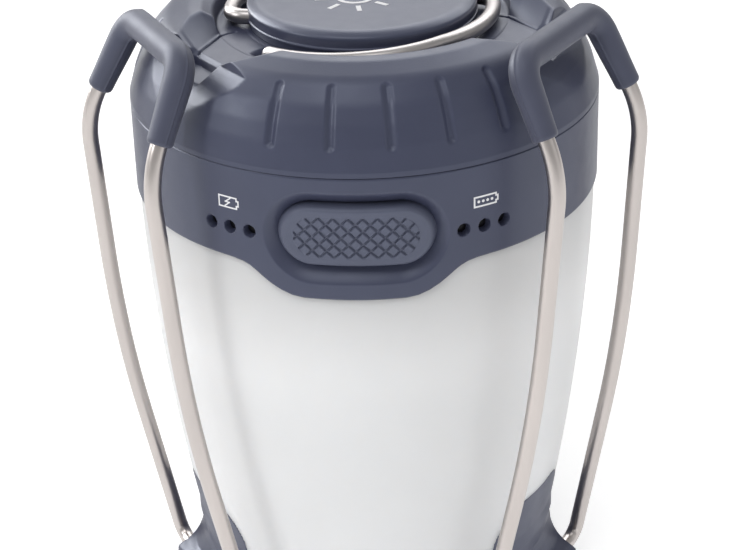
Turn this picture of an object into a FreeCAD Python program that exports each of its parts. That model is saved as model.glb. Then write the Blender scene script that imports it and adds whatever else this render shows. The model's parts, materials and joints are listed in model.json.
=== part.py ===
import FreeCAD, Part
import math
import os
import re

import Sketcher

# Round camping lantern with a folding wire tripod. The origin is on the axis at the underside
# of the base, +Z is up and the switch faces -Y. All sizes are in millimetres.
# An azimuth is counted from the front, -Y, towards +X.

DIMENSIONS = [
    ("base_radius", 35.3), ("base_edge", 3.2), ("base_rim", 21.7), ("base_wall", 2.0),
    ("base_floor", 6.0), ("globe_seat", 10.6),
    ("tab_thickness", 1.15), ("tab_half_width", 12.4), ("tab_top", 31.8), ("tab_corner", 8.5),
    ("door_radius", 22.8), ("door_gap", 0.3), ("door_bottom", 0.0), ("door_top", 5.2),
    ("lug_reach", 2.4), ("lug_bottom", 3.5), ("groove_reach", 2.8), ("groove_bottom", 3.2),
    ("groove_top", 5.5), ("slot_depth", 1.4), ("slot_length", 9.0), ("slot_width", 3.0),
    ("slot_inner", 5.0),
    ("pivot_radius", 35.9), ("pivot_height", 7.0), ("barrel_radius", 3.9),
    ("barrel_half_length", 14.4), ("web_inner", 29.5),
    ("web_top", 16.5), ("web_bend", 9.0), ("sweep_low", 9.3), ("sweep_radius", 42.0),
    ("sweep_bend", 8.5), ("pin_inner_end", 9.0), ("pin_clearance", 0.06),
    ("leg_wire", 1.45), ("hook_wire", 1.35),
    ("arm_foot_spread", 19.6), ("arm_foot_bend", 3.0),
    ("arm_knee_spread", 17.2), ("arm_knee_radius", 45.3), ("arm_knee_height", 59.5),
    ("arm_knee_bend", 300.0),
    ("arm_neck_spread", 15.6), ("arm_neck_radius", 47.6), ("arm_neck_height", 106.0),
    ("arm_neck_bend", 20.0),
    ("arm_head_spread", 12.1), ("arm_head_radius", 38.6), ("arm_head_height", 123.3),
    ("arm_head_bend", 4.5), ("grip_radius", 2.65), ("grip_start", 0.31),
    ("globe_foot_radius", 36.1), ("globe_radius", 41.95), ("globe_bend", 380.0),
    ("globe_shoulder", 86.0), ("globe_wall", 2.3), ("globe_neck_radius", 40.2),
    ("globe_neck_inner", 38.2), ("globe_neck_top", 95.0), ("globe_spigot_radius", 33.8),
    ("collar_bottom", 91.3), ("collar_radius", 42.45), ("collar_inner", 40.5), ("seam", 108.0),
    ("seam_radius", 42.2), ("seam_gap", 0.15), ("ledge_inner", 38.6), ("ledge_bottom", 96.8),
    ("chassis_bottom", 98.5), ("chassis_top", 100.5),
    ("apron_bottom", 85.9), ("apron_half_width", 9.5), ("apron_corner", 9.0),
    ("apron_side", 17.2), ("apron_flare", 19.8),
    ("switch_height", 97.2), ("recess_half_width", 15.4), ("recess_half_height", 8.3),
    ("recess_floor", 40.7), ("housing_half_width", 16.4), ("housing_back", 35.2),
    ("housing_half_height", 9.8), ("button_half_width", 13.1), ("button_half_height", 5.6),
    ("button_gap", 0.3), ("button_face", 42.0), ("flange_front", 38.6), ("flange_back", 37.4),
    ("flange_lip", 1.2), ("cavity_front", 38.8),
    ("window_radius", 1.0), ("window_first", 24.7), ("window_pitch", 5.2),
    ("window_face", 42.0), ("window_back", 39.4),
    ("shoulder_low_radius", 41.7), ("shoulder_low", 110.4), ("shoulder_radius", 35.0),
    ("shoulder", 122.0), ("shoulder_bend", 19.0), ("crest_radius", 30.0), ("crest", 123.8),
    ("crest_inner", 27.2), ("channel_radius", 26.0),
    ("channel_floor", 120.0), ("cap_wall", 2.0), ("cap_hole", 17.4),
    ("notch_floor_half", 5.2), ("notch_top_half", 12.5), ("notch_top", 124.0), ("cap_turn", 9.2),
    ("groove_half_width", 1.0), ("groove_depth", 0.6), ("groove_low", 111.9),
    ("groove_high", 121.9), ("groove_pitch", 14.0), ("groove_count", 5),
    ("disc_radius", 20.4), ("disc_top", 124.4), ("disc_edge", 1.0), ("disc_wall", 2.2),
    ("spigot_radius", 17.2), ("spigot_bottom", 117.95), ("disc_hollow", 9.0),
    ("hook_radius", 23.2), ("hook_height", 121.9), ("hook_offset", 4.6), ("hook_bend", 3.2),
    ("hook_stub", 10.6), ("hook_tip", 45.5), ("hook_head", 1.7), ("hook_head_length", 1.4),
    ("tube_radius", 16.9), ("tube_wall", 1.2), ("tube_top", 61.0), ("tube_flange_radius", 28.5),
    ("cell_radius", 7.1), ("cell_bottom", 7.0), ("cell_length", 49.5), ("cell_ring", 8.25),
    ("board_thickness", 1.6), ("board_radius", 28.5), ("control_board_front", 30.5),
    ("control_half_width", 22.4), ("light_ring", 22.0), ("light_count", 8),
    ("port_azimuth", 120), ("port_height", 103.2), ("port_half_width", 6.2),
    ("port_half_height", 3.6), ("port_depth", 0.9), ("port_gap", 0.3),
    ("screw_radius", 1.25), ("screw_head", 2.4), ("screw_ring", 14.0), ("screw_room", 0.15),
    ("base_screw_ring", 26.9), ("base_screw_length", 7.0), ("base_inner", 31.0),
    ("lug_half_width", 4.5), ("door_chamfer", 0.6), ("door_plate_radius", 14.5),
    ("door_plate_thickness", 0.5), ("reflector_radius", 30.8), ("reflector_wall", 1.2),
    ("post_ring", 24.0), ("post_radius", 2.6), ("board_lift", 3.0), ("spreader_thickness", 2.4),
    ("lamp_size", 3.5), ("lamp_height", 0.9), ("indicator_size", 1.6), ("indicator_depth", 1.2),
    ("indicator_radius", 31.2), ("control_bottom", 92.2), ("control_top", 107.0),
]

LEGS = [("right", 60), ("left", -60), ("rear", 180)]
DISC_SCREWS = (30, 150, 270)

document = FreeCAD.newDocument("lantern")
sheet = document.addObject("Spreadsheet::Sheet", "Dimensions")
for row, (alias, value) in enumerate(DIMENSIONS, 1):
    sheet.set("A%d" % row, alias)
    sheet.set("B%d" % row, str(value))
    sheet.setAlias("B%d" % row, alias)
document.recompute()

ALIAS = re.compile(r"\b(%s)\b" % "|".join(alias for alias, value in DIMENSIONS))
nodes = []


def formula(text):
    """An expression on the sheet's cells, from the cells' plain names."""
    return ALIAS.sub(r"Dimensions.\1", str(text))


def number(text):
    """The present value of an expression on the sheet's cells."""
    return float(sheet.evalExpression(formula(text)))


def vector(x, y, z):
    return FreeCAD.Vector(number(x), number(y), number(z))


def turn(angle):
    """A rotation about the lantern's axis, in degrees."""
    return FreeCAD.Rotation(FreeCAD.Vector(0, 0, 1), angle)


def keep(node, thing):
    """Name a finished sub-part, so that it is checked and written."""
    thing.Label = node
    nodes.append(thing)
    return thing


def pin(sketch, geometry, point, corner):
    """Hold one end of a sketch's line at a corner whose coordinates are expressions."""
    axes = (("DistanceX", -2, corner[0]), ("DistanceY", -1, corner[1]))
    for kind, axis, text in axes:
        value = number(text)
        if abs(value) < 1e-9:
            sketch.addConstraint(Sketcher.Constraint("PointOnObject", geometry, point, axis))
            continue
        rule = sketch.addConstraint(Sketcher.Constraint(kind, -1, 1, geometry, point, value))
        sketch.setExpression("Constraints[%d]" % rule, formula(text))


def add_edge(sketch, start, end, bend):
    """Draw one line or arc and say which of its ends comes first along the outline."""
    if not bend:
        return sketch.addGeometry(Part.LineSegment(start, end), False), 1, 2
    radius, side = number(bend[0]), bend[1]
    chord = end - start
    across = FreeCAD.Vector(-chord.y, chord.x, 0).normalize()
    rise = math.sqrt(radius ** 2 - (chord.Length / 2) ** 2)
    centre = (start + end) * 0.5 + across * side * rise
    circle = Part.Circle(centre, FreeCAD.Vector(0, 0, 1), radius)
    start_angle = math.atan2(start.y - centre.y, start.x - centre.x)
    end_angle = math.atan2(end.y - centre.y, end.x - centre.x)
    if side > 0:
        return sketch.addGeometry(Part.ArcOfCircle(circle, start_angle, end_angle), False), 1, 2
    return sketch.addGeometry(Part.ArcOfCircle(circle, end_angle, start_angle), False), 2, 1


def draw(body, plane, corners, offset="0"):
    """A closed outline on one of the body's planes. A corner is (across, up), and with two more
    items, a radius and the side of its centre, the edge that leaves it is an arc: side 1 puts the
    centre on the left of the way round, -1 on the right."""
    sketch = body.newObject("Sketcher::SketchObject", body.Name + "_outline")
    role = [item for item in body.Origin.OriginFeatures if item.Role == plane][0]
    sketch.AttachmentSupport = [(role, "")]
    sketch.MapMode = "FlatFace"
    sketch.setExpression(".AttachmentOffset.Base.z", formula(offset))
    points = [vector(corner[0], corner[1], 0) for corner in corners]
    edges = []
    for index, corner in enumerate(corners):
        following = points[(index + 1) % len(points)]
        edges.append(add_edge(sketch, points[index], following, corner[2:]))
    for index, (geometry, first, last) in enumerate(edges):
        before, start, finish = edges[index - 1]
        sketch.addConstraint(Sketcher.Constraint("Coincident", before, finish, geometry, first))
        pin(sketch, geometry, first, corners[index])
        if len(corners[index]) > 2:
            radius = number(corners[index][2])
            rule = sketch.addConstraint(Sketcher.Constraint("Radius", geometry, radius))
            sketch.setExpression("Constraints[%d]" % rule, formula(corners[index][2]))
    return sketch


def turned(name, corners):
    """A body turned about the lantern's axis from a half outline of (radius, height)."""
    body = document.addObject("PartDesign::Body", name)
    sketch = draw(body, "XZ_Plane", corners)
    revolution = body.newObject("PartDesign::Revolution", name + "_turned")
    revolution.Profile = sketch
    revolution.ReferenceAxis = (sketch, ["V_Axis"])
    revolution.Angle = 360
    return body


def padded(name, plane, corners, start, length):
    """A body of constant section. From the XZ plane it grows towards the front, -Y."""
    body = document.addObject("PartDesign::Body", name)
    sketch = draw(body, plane, corners, start)
    pad = body.newObject("PartDesign::Pad", name + "_pad")
    pad.Profile = sketch
    pad.setExpression("Length", formula(length))
    return body


def box_outline(half_width, low, high):
    return [("-(%s)" % half_width, low), (half_width, low), (half_width, high),
            ("-(%s)" % half_width, high)]


def stadium(half_width, half_height, middle):
    """A flat bar with round ends, centred on the front at height middle."""
    side = "%s - (%s)" % (half_width, half_height)
    low, high = "%s - (%s)" % (middle, half_height), "%s + (%s)" % (middle, half_height)
    right, left = "%s + 0.001" % side, "-(%s) - 0.001" % side
    outer, inner = half_width, "-(%s)" % half_width
    return [(left, low), (right, low, half_height, 1), (outer, middle, half_height, 1),
            (right, high), (left, high, half_height, 1), (inner, middle, half_height, 1)]


def place(thing, x, y, z, rotation=None):
    """Put a primitive at a position whose coordinates are expressions."""
    thing.Placement = FreeCAD.Placement(vector(x, y, z), rotation or FreeCAD.Rotation())
    for axis, text in (("x", x), ("y", y), ("z", z)):
        thing.setExpression(".Placement.Base.%s" % axis, formula(text))
    return thing


def cylinder(name, radius, height, x="0", y="0", z="0", rotation=None):
    rod = document.addObject("Part::Cylinder", name)
    rod.setExpression("Radius", formula(radius))
    rod.setExpression("Height", formula(height))
    return place(rod, x, y, z, rotation)


def cone(name, low_radius, high_radius, height, x, y, z):
    taper = document.addObject("Part::Cone", name)
    taper.setExpression("Radius1", formula(low_radius))
    taper.setExpression("Radius2", formula(high_radius))
    taper.setExpression("Height", formula(height))
    return place(taper, x, y, z)


def block(name, length, width, height, x, y, z, rotation=None):
    brick = document.addObject("Part::Box", name)
    for size, text in (("Length", length), ("Width", width), ("Height", height)):
        brick.setExpression(size, formula(text))
    return place(brick, x, y, z, rotation)


def o_ring(name, radius, section, height):
    ring = document.addObject("Part::Torus", name)
    ring.setExpression("Radius1", formula(radius))
    ring.setExpression("Radius2", formula(section))
    return place(ring, "0", "0", height)


def cut(name, base, tool):
    result = document.addObject("Part::Cut", name)
    result.Base = base
    result.Tool = tool
    return result


def fuse(name, things):
    result = document.addObject("Part::MultiFuse", name)
    result.Shapes = things
    return result


def common(name, things):
    result = document.addObject("Part::MultiCommon", name)
    result.Shapes = things
    return result


def group(name, things):
    result = document.addObject("Part::Compound", name)
    result.Links = things
    return result


def spun(thing, angle):
    """Turn a body that was drawn at the front to another azimuth."""
    thing.Placement = FreeCAD.Placement(FreeCAD.Vector(0, 0, 0), turn(angle))
    return thing


def around(azimuth, radius):
    """Expressions for the x and y of a point at an azimuth and radius."""
    return "(%s) * sin(%s)" % (radius, azimuth), "-(%s) * cos(%s)" % (radius, azimuth)


def bent_path(points, radii):
    """Straight runs joined by tangent arcs, one radius for each inner point."""
    edges = []
    start = points[0]
    for before, corner, after, radius in zip(points, points[1:], points[2:], radii):
        back = (before - corner).normalize()
        ahead = (after - corner).normalize()
        half_turn = (math.pi - back.getAngle(ahead)) / 2
        reach = radius * math.tan(half_turn)
        inward = (back + ahead).normalize()
        first = corner + back * reach
        last = corner + ahead * reach
        middle = corner + inward * (radius / math.cos(half_turn) - radius)
        edges.append(Part.LineSegment(start, first))
        edges.append(Part.Arc(first, middle, last))
        start = last
    edges.append(Part.LineSegment(start, points[-1]))
    return Part.Wire([edge.toShape() for edge in edges])


def rod_along(path, radius):
    """A round rod that follows a path of lines and tangent arcs."""
    edge = path.Edges[0]
    direction = edge.tangentAt(edge.FirstParameter)
    section = Part.Wire([Part.makeCircle(radius, edge.Vertexes[0].Point, direction)])
    return path.makePipeShell([section], True, False)


def shaped(name, shape, angle=0):
    """A sub-part whose shape is made from the sheet's values, then turned about the axis."""
    thing = document.addObject("Part::Feature", name)
    thing.Shape = shape
    thing.Placement = FreeCAD.Placement(FreeCAD.Vector(0, 0, 0), turn(angle))
    return thing


# ---- base cup, its tabs and its hinge barrels ---------------------------------------------

def globe_form(name, inset):
    """The globe's outer form as a solid, set in by a given depth."""
    foot = "globe_foot_radius - (%s)" % inset
    top = "globe_radius - (%s)" % inset
    return turned(name, [("0", "base_rim - 6"), (foot, "base_rim - 6"),
                         (foot, "base_rim", "globe_bend", 1), (top, "globe_shoulder"),
                         (top, "collar_bottom"), ("0", "collar_bottom")])


def tab_outline(margin):
    """One tab of the base: a tongue with round upper corners."""
    half = "tab_half_width + %s" % margin
    top = "tab_top + %s" % margin
    inner = "%s - tab_corner" % half
    shoulder = "%s - tab_corner" % top
    return [("-(%s)" % half, "base_rim - 4"), (half, "base_rim - 4"),
            (half, shoulder, "tab_corner", 1), (inner, top), ("-(%s)" % inner, top, "tab_corner", 1),
            ("-(%s)" % half, shoulder)]


def tabs(name, margin, inset):
    """The three tabs together, as thin tongues that follow the globe."""
    tongues = []
    for side, angle in LEGS:
        tongue = padded("%s_%s" % (name, side), "XZ_Plane", tab_outline(margin), "20", "26")
        tongues.append(spun(tongue, angle))
    return cut(name + "_thinned", fuse(name + "_prisms", tongues), globe_form(name + "_core", inset))


def make_base():
    cup = turned("base_shell", [
        ("base_radius - base_edge", "0"), ("base_radius - 0.35", "base_edge"),
        ("base_radius", "12"), ("globe_foot_radius", "base_rim"),
        ("globe_foot_radius - base_wall", "base_rim"),
        ("globe_foot_radius - base_wall", "globe_seat"), ("base_inner", "globe_seat"),
        ("base_inner", "base_floor"), ("door_radius + door_gap", "base_floor"),
        ("door_radius + door_gap", "groove_top"),
        ("door_radius + groove_reach", "groove_top"),
        ("door_radius + groove_reach", "groove_bottom"),
        ("door_radius + door_gap", "groove_bottom"), ("door_radius + door_gap", "0")])
    tab_solids = common("base_tabs", [tabs("tab", "0", "tab_thickness"), globe_form("tab_skin", "0")])
    barrels = []
    bores = []
    for side, angle in LEGS:
        barrel = padded("barrel_%s" % side, "YZ_Plane", barrel_outline(), "-barrel_half_length",
                        "2 * barrel_half_length")
        barrels.append(spun(barrel, angle))
        bore = document.addObject("Part::Cylinder", "pivot_bore_%s" % side)
        bore.setExpression("Radius", formula("leg_wire + pin_clearance"))
        bore.setExpression("Height", formula("2 * barrel_half_length + 2"))
        across = turn(angle).multiply(FreeCAD.Rotation(FreeCAD.Vector(0, 1, 0), 90))
        centre = turn(angle).multVec(vector("-barrel_half_length - 1", "-pivot_radius",
                                            "pivot_height"))
        bore.Placement = FreeCAD.Placement(centre, across)
        bores.append(bore)
    slots = []
    for index in range(3):
        slot = padded("lug_slot_%d" % index, "XY_Plane", lug_outline("1.2", "door_radius - 2",
                      "door_radius + groove_reach"), "-1", "groove_bottom + 1.5")
        slots.append(spun(slot, 60 + 120 * index))
    holes = []
    for azimuth in (0, 120, -120):
        x, y = around(azimuth, "base_screw_ring")
        holes.append(cylinder("base_screw_hole_%d" % (azimuth % 360), "screw_radius + screw_room",
                              "base_floor - 0.5", x, y, "0.5"))
    swept = common("swept_barrels", [fuse("barrel_solids", barrels), barrel_sweep()])
    body = fuse("base_solid", [cup, tab_solids, swept])
    cleared = cut("base_bored", body, fuse("base_tools", bores + slots + holes))
    return keep("base_cup", cut("base_open", cleared, base_inside()))


def barrel_outline():
    """Section of a hinge barrel in the (y, z) plane with the web that joins it to the cup."""
    outer = "-pivot_radius - barrel_radius"
    low, high = "pivot_height - barrel_radius", "pivot_height + barrel_radius"
    return [("-web_inner", low), ("-pivot_radius", low, "barrel_radius", -1),
            (outer, "pivot_height", "barrel_radius", -1),
            ("-pivot_radius - 0.6", "%s - 0.05" % high, "web_bend", 1),
            ("-base_radius", "web_top"), ("-web_inner", "web_top")]


def barrel_sweep():
    """The round form that the webs' ends follow, so that they sweep out of the round cup."""
    beyond = "sweep_radius + 4"
    return turned("barrel_sweep", [
        ("0", "1"), (beyond, "1"), (beyond, "sweep_low"),
        ("sweep_radius", "sweep_low", "sweep_bend", -1), ("base_radius + 0.1", "web_top"),
        ("0", "web_top")])


def base_inside():
    """The space inside the base cup that the barrels' webs must not fill."""
    return turned("base_inside", [
        ("0", "base_floor"), ("base_inner", "base_floor"), ("base_inner", "globe_seat"),
        ("globe_foot_radius - base_wall", "globe_seat"),
        ("globe_foot_radius - base_wall", "base_rim"), ("0", "base_rim")])


def lug_outline(margin, inner, outer):
    """A bayonet lug seen from above: a block between two radii, centred on the front."""
    half = "lug_half_width + %s" % margin
    return [("-(%s)" % half, "-(%s)" % outer), (half, "-(%s)" % outer),
            (half, "-(%s)" % inner), ("-(%s)" % half, "-(%s)" % inner)]


def make_door():
    disc = turned("door_disc", [
        ("0", "door_bottom"), ("door_radius - door_chamfer", "door_bottom"),
        ("door_radius", "door_bottom + door_chamfer"), ("door_radius", "2"), ("door_radius - 0.8", "2"),
        ("door_radius - 0.8", "3"), ("door_radius", "3"), ("door_radius", "door_top"),
        ("0", "door_top")])
    lugs = []
    for index in range(3):
        lug = padded("door_lug_%d" % index, "XY_Plane", lug_outline("0", "door_radius - 1.5",
                     "door_radius + lug_reach - 0.7"), "lug_bottom", "door_top - lug_bottom")
        lugs.append(spun(lug, 120 * index))
    slots = [block("turn_slot_%d" % index, "slot_length", "slot_width", "slot_depth", start,
                   "-slot_width / 2", "door_bottom")
             for index, start in enumerate(("slot_inner", "-slot_inner - slot_length"))]
    keep("battery_door", cut("door_slotted", fuse("door_solid", [disc] + lugs),
                             fuse("turn_slots", slots)))
    keep("door_seal", o_ring("door_ring", "door_radius - 0.32", "0.42", "2.5"))
    plate = cylinder("door_plate", "door_plate_radius", "door_plate_thickness", z="door_top")
    bumps = []
    for azimuth in (0, 120, -120):
        x, y = around(azimuth, "cell_ring")
        bumps.append(cone("door_bump_%d" % (azimuth % 360), "3", "1.6", "1.1", x, y, "door_top + 0.4"))
    keep("door_contacts", fuse("door_contact_solid", [plate] + bumps))


# ---- battery tube and what it holds --------------------------------------------------------

def make_battery():
    tube = turned("tube_shell", [
        ("tube_radius - tube_wall", "base_floor"), ("tube_flange_radius", "base_floor"),
        ("tube_flange_radius", "base_floor + 2"), ("tube_radius", "base_floor + 2"),
        ("tube_radius", "tube_top"), ("tube_radius - tube_wall", "tube_top")])
    holes = []
    screws = []
    for azimuth in (0, 120, -120):
        x, y = around(azimuth, "base_screw_ring")
        tag = azimuth % 360
        holes.append(cylinder("tube_hole_%d" % tag, "screw_radius + screw_room", "3", x, y,
                              "base_floor - 0.5"))
        shank = cylinder("tube_shank_%d" % tag, "screw_radius", "base_screw_length", x, y,
                         "base_floor + 2 - base_screw_length")
        head = cylinder("tube_head_%d" % tag, "1.5", "1.2", x, y, "base_floor + 2")
        screws.append(fuse("tube_screw_%d" % tag, [shank, head]))
    keep("battery_tube", cut("tube_drilled", tube, fuse("tube_holes", holes)))
    keep("tube_screws", group("tube_screw_group", screws))
    cells = []
    contacts = []
    for azimuth in (0, 120, -120):
        x, y = around(azimuth, "cell_ring")
        tag = azimuth % 360
        can = cylinder("cell_can_%d" % tag, "cell_radius", "cell_length - 1.2", x, y, "cell_bottom")
        button = cylinder("cell_button_%d" % tag, "2.7", "cell_length", x, y, "cell_bottom")
        cells.append(fuse("cell_%d" % tag, [can, button]))
        contacts.append(cone("top_contact_%d" % tag, "2", "3.4", "1.2", x, y,
                             "cell_bottom + cell_length + 0.1"))
    keep("battery_cells", group("cell_group", cells))
    keep("top_contacts", group("top_contact_group", contacts))
    keep("contact_board", cylinder("contact_disc", "tube_radius - tube_wall - 0.1",
                                   "board_thickness", z="cell_bottom + cell_length + 1.3"))


# ---- globe, reflector and seals ------------------------------------------------------------

def make_globe():
    shell = turned("globe_shell", [
        ("globe_spigot_radius - 1.6", "globe_seat + 1.4"), ("globe_spigot_radius", "globe_seat + 1.4"),
        ("globe_spigot_radius", "base_rim + 0.15"), ("globe_foot_radius", "base_rim + 0.15",
                                                     "globe_bend", 1),
        ("globe_radius", "globe_shoulder"), ("globe_radius", "collar_bottom - 0.15"),
        ("globe_neck_radius", "collar_bottom - 0.15"), ("globe_neck_radius", "globe_neck_top"),
        ("globe_neck_inner", "globe_neck_top"), ("globe_neck_inner", "globe_shoulder + 1"),
        ("globe_radius - globe_wall", "globe_shoulder - 2", "globe_bend", -1),
        ("globe_foot_radius - globe_wall", "base_rim + 1.5"),
        ("globe_spigot_radius - 1.6", "base_rim - 2")])
    pockets = tabs("pocket", "0.2", "tab_thickness + 0.2")
    apron = cut("apron_clearance", padded("apron_room", "XZ_Plane", apron_outline("0.25"), "20", "30"),
                cylinder("apron_back", "globe_neck_radius", "30", z="80"))
    housing = padded("housing_room", "XZ_Plane", stadium(
        "(housing_half_width + 0.4)", "(housing_half_height + 0.4)", "switch_height"),
        "housing_back - 0.4", "12")
    tools = fuse("globe_tools", [pockets, apron, housing])
    keep("globe", cut("globe_open", shell, tools))
    keep("reflector_cone", turned("reflector_shell", [
        ("reflector_radius - reflector_wall", "base_floor + 2.3"),
        ("reflector_radius", "base_floor + 2.3"), ("reflector_radius", "base_floor + 4"),
        ("tube_radius + 1.6", "tube_top + 2"), ("0", "tube_top + 2"), ("0", "tube_top + 0.8"),
        ("tube_radius + 0.6", "tube_top + 0.8"),
        ("reflector_radius - reflector_wall", "base_floor + 4")]))
    keep("globe_seal", o_ring("seal_ring", "globe_spigot_radius - 0.9", "0.65", "globe_seat + 0.7"))


# ---- collar, switch and windows ------------------------------------------------------------

def apron_outline(margin):
    """The part of the collar's lower edge that drops below the switch."""
    low = "apron_bottom - %s" % margin
    flat = "apron_half_width"
    side = "apron_side + %s" % margin
    flare = "apron_flare + %s" % margin
    top = "collar_bottom + 1"
    knee = "collar_bottom - 2.2 - %s" % margin
    edge = "collar_bottom - %s" % margin
    return [("-(%s)" % flat, low), (flat, low, "apron_corner", 1), ("%s - 1.6" % side, knee),
            (flare, edge), (flare, top), ("-(%s)" % flare, top), ("-(%s)" % flare, edge),
            ("-(%s) + 1.6" % side, knee, "apron_corner", 1)]


def windows(name, radius, start, end, side):
    """Three short radial rods on one side of the switch."""
    rods = []
    for index in range(3):
        azimuth = "%d * (window_first + %d * window_pitch)" % (side, index)
        x, y = around(azimuth, start)
        lie = turn(number(azimuth)).multiply(FreeCAD.Rotation(FreeCAD.Vector(1, 0, 0), 90))
        rods.append(cylinder("%s_%d" % (name, index), radius, "%s - %s" % (end, start), x, y,
                             "switch_height - 0.2", lie))
    return rods


def make_collar():
    ring = turned("collar_ring", [
        ("collar_inner", "collar_bottom"), ("collar_radius", "collar_bottom"),
        ("seam_radius", "seam"), ("collar_inner", "seam"), ("collar_inner", "chassis_bottom - 0.1"),
        ("ledge_inner", "chassis_bottom - 0.1"), ("ledge_inner", "ledge_bottom"),
        ("collar_inner", "ledge_bottom")])
    skirt = turned("apron_shell", [
        ("collar_inner", "apron_bottom - 2"), ("collar_radius", "apron_bottom - 2"),
        ("collar_radius", "collar_bottom + 1"), ("collar_inner", "collar_bottom + 1")])
    apron = common("apron", [skirt, padded("apron_prism", "XZ_Plane", apron_outline("0"), "20", "30")])
    housing = common("switch_housing", [
        padded("housing_block", "XZ_Plane", stadium(
            "housing_half_width", "housing_half_height", "switch_height"), "housing_back", "8"),
        cylinder("housing_limit", "collar_inner + 0.5", "60", z="60")])
    recess = cut("recess_tool", padded("recess_prism", "XZ_Plane", stadium(
        "recess_half_width", "recess_half_height", "switch_height"), "30", "20"),
        cylinder("recess_core", "recess_floor", "60", z="60"))
    opening = padded("button_opening", "XZ_Plane", stadium(
        "(button_half_width + button_gap)", "(button_half_height + button_gap)", "switch_height"),
        "cavity_front - 1", "10")
    cavity = padded("button_cavity", "XZ_Plane", box_outline(
        "button_half_width + flange_lip + 0.4", "switch_height - button_half_height - flange_lip - 0.4",
        "switch_height + button_half_height + flange_lip + 0.4"), "housing_back - 1",
        "cavity_front - housing_back + 1")
    room = "port_half_width + port_gap"
    pocket = cut("port_pocket", padded("port_prism", "XZ_Plane", box_outline(
        room, "port_height - port_half_height - port_gap", "port_height + port_half_height + port_gap"),
        "30", "20"), cylinder("port_core", "seam_radius - port_depth - 0.15", "60", z="60"))
    slot = padded("port_slot", "XZ_Plane", box_outline("4.4", "port_height - 1.9", "port_height + 1.9"),
                  "30", "20")
    port = spun(fuse("port_tool", [pocket, slot]), number("port_azimuth"))
    holes = windows("left_hole", "window_radius + 0.05", "30", "46", -1)
    holes += windows("right_hole", "window_radius + 0.05", "30", "46", 1)
    body = fuse("collar_solid", [ring, apron, housing])
    keep("collar", cut("collar_open", body,
                       fuse("collar_tools", [recess, opening, cavity, port] + holes)))
    keep("charge_windows", group("charge_window_group", windows(
        "charge_window", "window_radius", "window_back", "window_face", -1)))
    keep("level_windows", group("level_window_group", windows(
        "level_window", "window_radius", "window_back", "window_face", 1)))


def make_switch():
    face = common("button_pad", [
        padded("button_prism", "XZ_Plane", stadium("button_half_width", "button_half_height",
                                                   "switch_height"), "flange_back", "6"),
        cylinder("button_crown", "button_face", "60", z="60")])
    flange = padded("button_flange", "XZ_Plane", stadium(
        "(button_half_width + flange_lip)", "(button_half_height + flange_lip)", "switch_height"),
        "flange_back", "flange_front - flange_back")
    keep("power_button", fuse("button_solid", [face, flange]))
    body = block("switch_body", "6", "4.7", "6", "-3", "-35.2", "switch_height - 3")
    plunger = cylinder("switch_plunger", "1.7", "0.9", "0", "-35.1", "switch_height",
                       FreeCAD.Rotation(FreeCAD.Vector(1, 0, 0), 90))
    keep("tact_switch", fuse("switch_solid", [body, plunger]))
    keep("control_board", padded("control_plate", "XZ_Plane", box_outline(
        "control_half_width", "control_bottom", "control_top"), "control_board_front - board_thickness",
        "board_thickness"))
    lamps = []
    for side in (-1, 1):
        for index in range(3):
            azimuth = "(window_first + %d * window_pitch)" % index
            x = "%d * indicator_radius * tan(%s) - indicator_size / 2" % (side, azimuth)
            lamps.append(block("indicator_%d_%d" % (side + 1, index), "indicator_size",
                               "indicator_depth", "indicator_depth", x,
                               "-control_board_front - indicator_depth", "switch_height - 0.8"))
    keep("indicator_lamps", group("indicator_group", lamps))


# ---- chassis, lamp board and electronics ---------------------------------------------------

def make_chassis():
    plate = cylinder("chassis_disc", "collar_inner - 0.2", "chassis_top - chassis_bottom",
                     z="chassis_bottom")
    posts = []
    for azimuth in (180, 60, -60):
        x, y = around(azimuth, "post_ring")
        posts.append(cylinder("chassis_post_%d" % (azimuth % 360), "post_radius",
                              "board_lift + 0.2", x, y, "chassis_top - 0.2"))
    front = block("chassis_front", "100", "30", "20", "-50", "-58.8", "90")
    keep("chassis", cut("chassis_cut", fuse("chassis_solid", [plate] + posts), front))
    keep("heat_spreader", cylinder("spreader_disc", "board_radius - 0.5", "spreader_thickness",
                                   z="chassis_bottom - spreader_thickness"))
    top = "chassis_bottom - spreader_thickness - board_thickness"
    keep("lamp_board", cylinder("lamp_disc", "board_radius - 0.5", "board_thickness", z=top))
    lamps = []
    for index in range(int(number("light_count"))):
        azimuth = "(%d * 360 / light_count)" % index
        x, y = around(azimuth, "light_ring")
        lamps.append(block("lamp_%d" % index, "lamp_size", "lamp_size", "lamp_height",
                           "%s - lamp_size / 2" % x, "%s - lamp_size / 2" % y,
                           "%s - lamp_height" % top))
    keep("lamp_emitters", group("lamp_group", lamps))
    keep("main_board", cylinder("main_disc", "board_radius - 0.5", "board_thickness",
                                z="chassis_top + board_lift"))
    screws = []
    for azimuth in (180, 60, -60):
        x, y = around(azimuth, "post_ring")
        screws.append(cylinder("board_screw_%d" % (azimuth % 360), "screw_head", "1.3", x, y,
                               "chassis_top + board_lift + board_thickness"))
    keep("board_screws", group("board_screw_group", screws))
    socket = padded("socket_shell", "XZ_Plane", box_outline("4.0", "port_height - 1.5",
                    "port_height + 1.5"), "33", "7.2")
    mouth = padded("socket_mouth", "XZ_Plane", box_outline("3.5", "port_height - 1.0",
                   "port_height + 1.0"), "35", "7")
    keep("charge_socket", spun(cut("socket_solid", socket, mouth), number("port_azimuth")))
    keep("socket_bracket", spun(padded("bracket_block", "XZ_Plane", box_outline(
        "3.6", "chassis_top", "port_height - 1.5"), "33", "6"), number("port_azimuth")))


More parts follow.
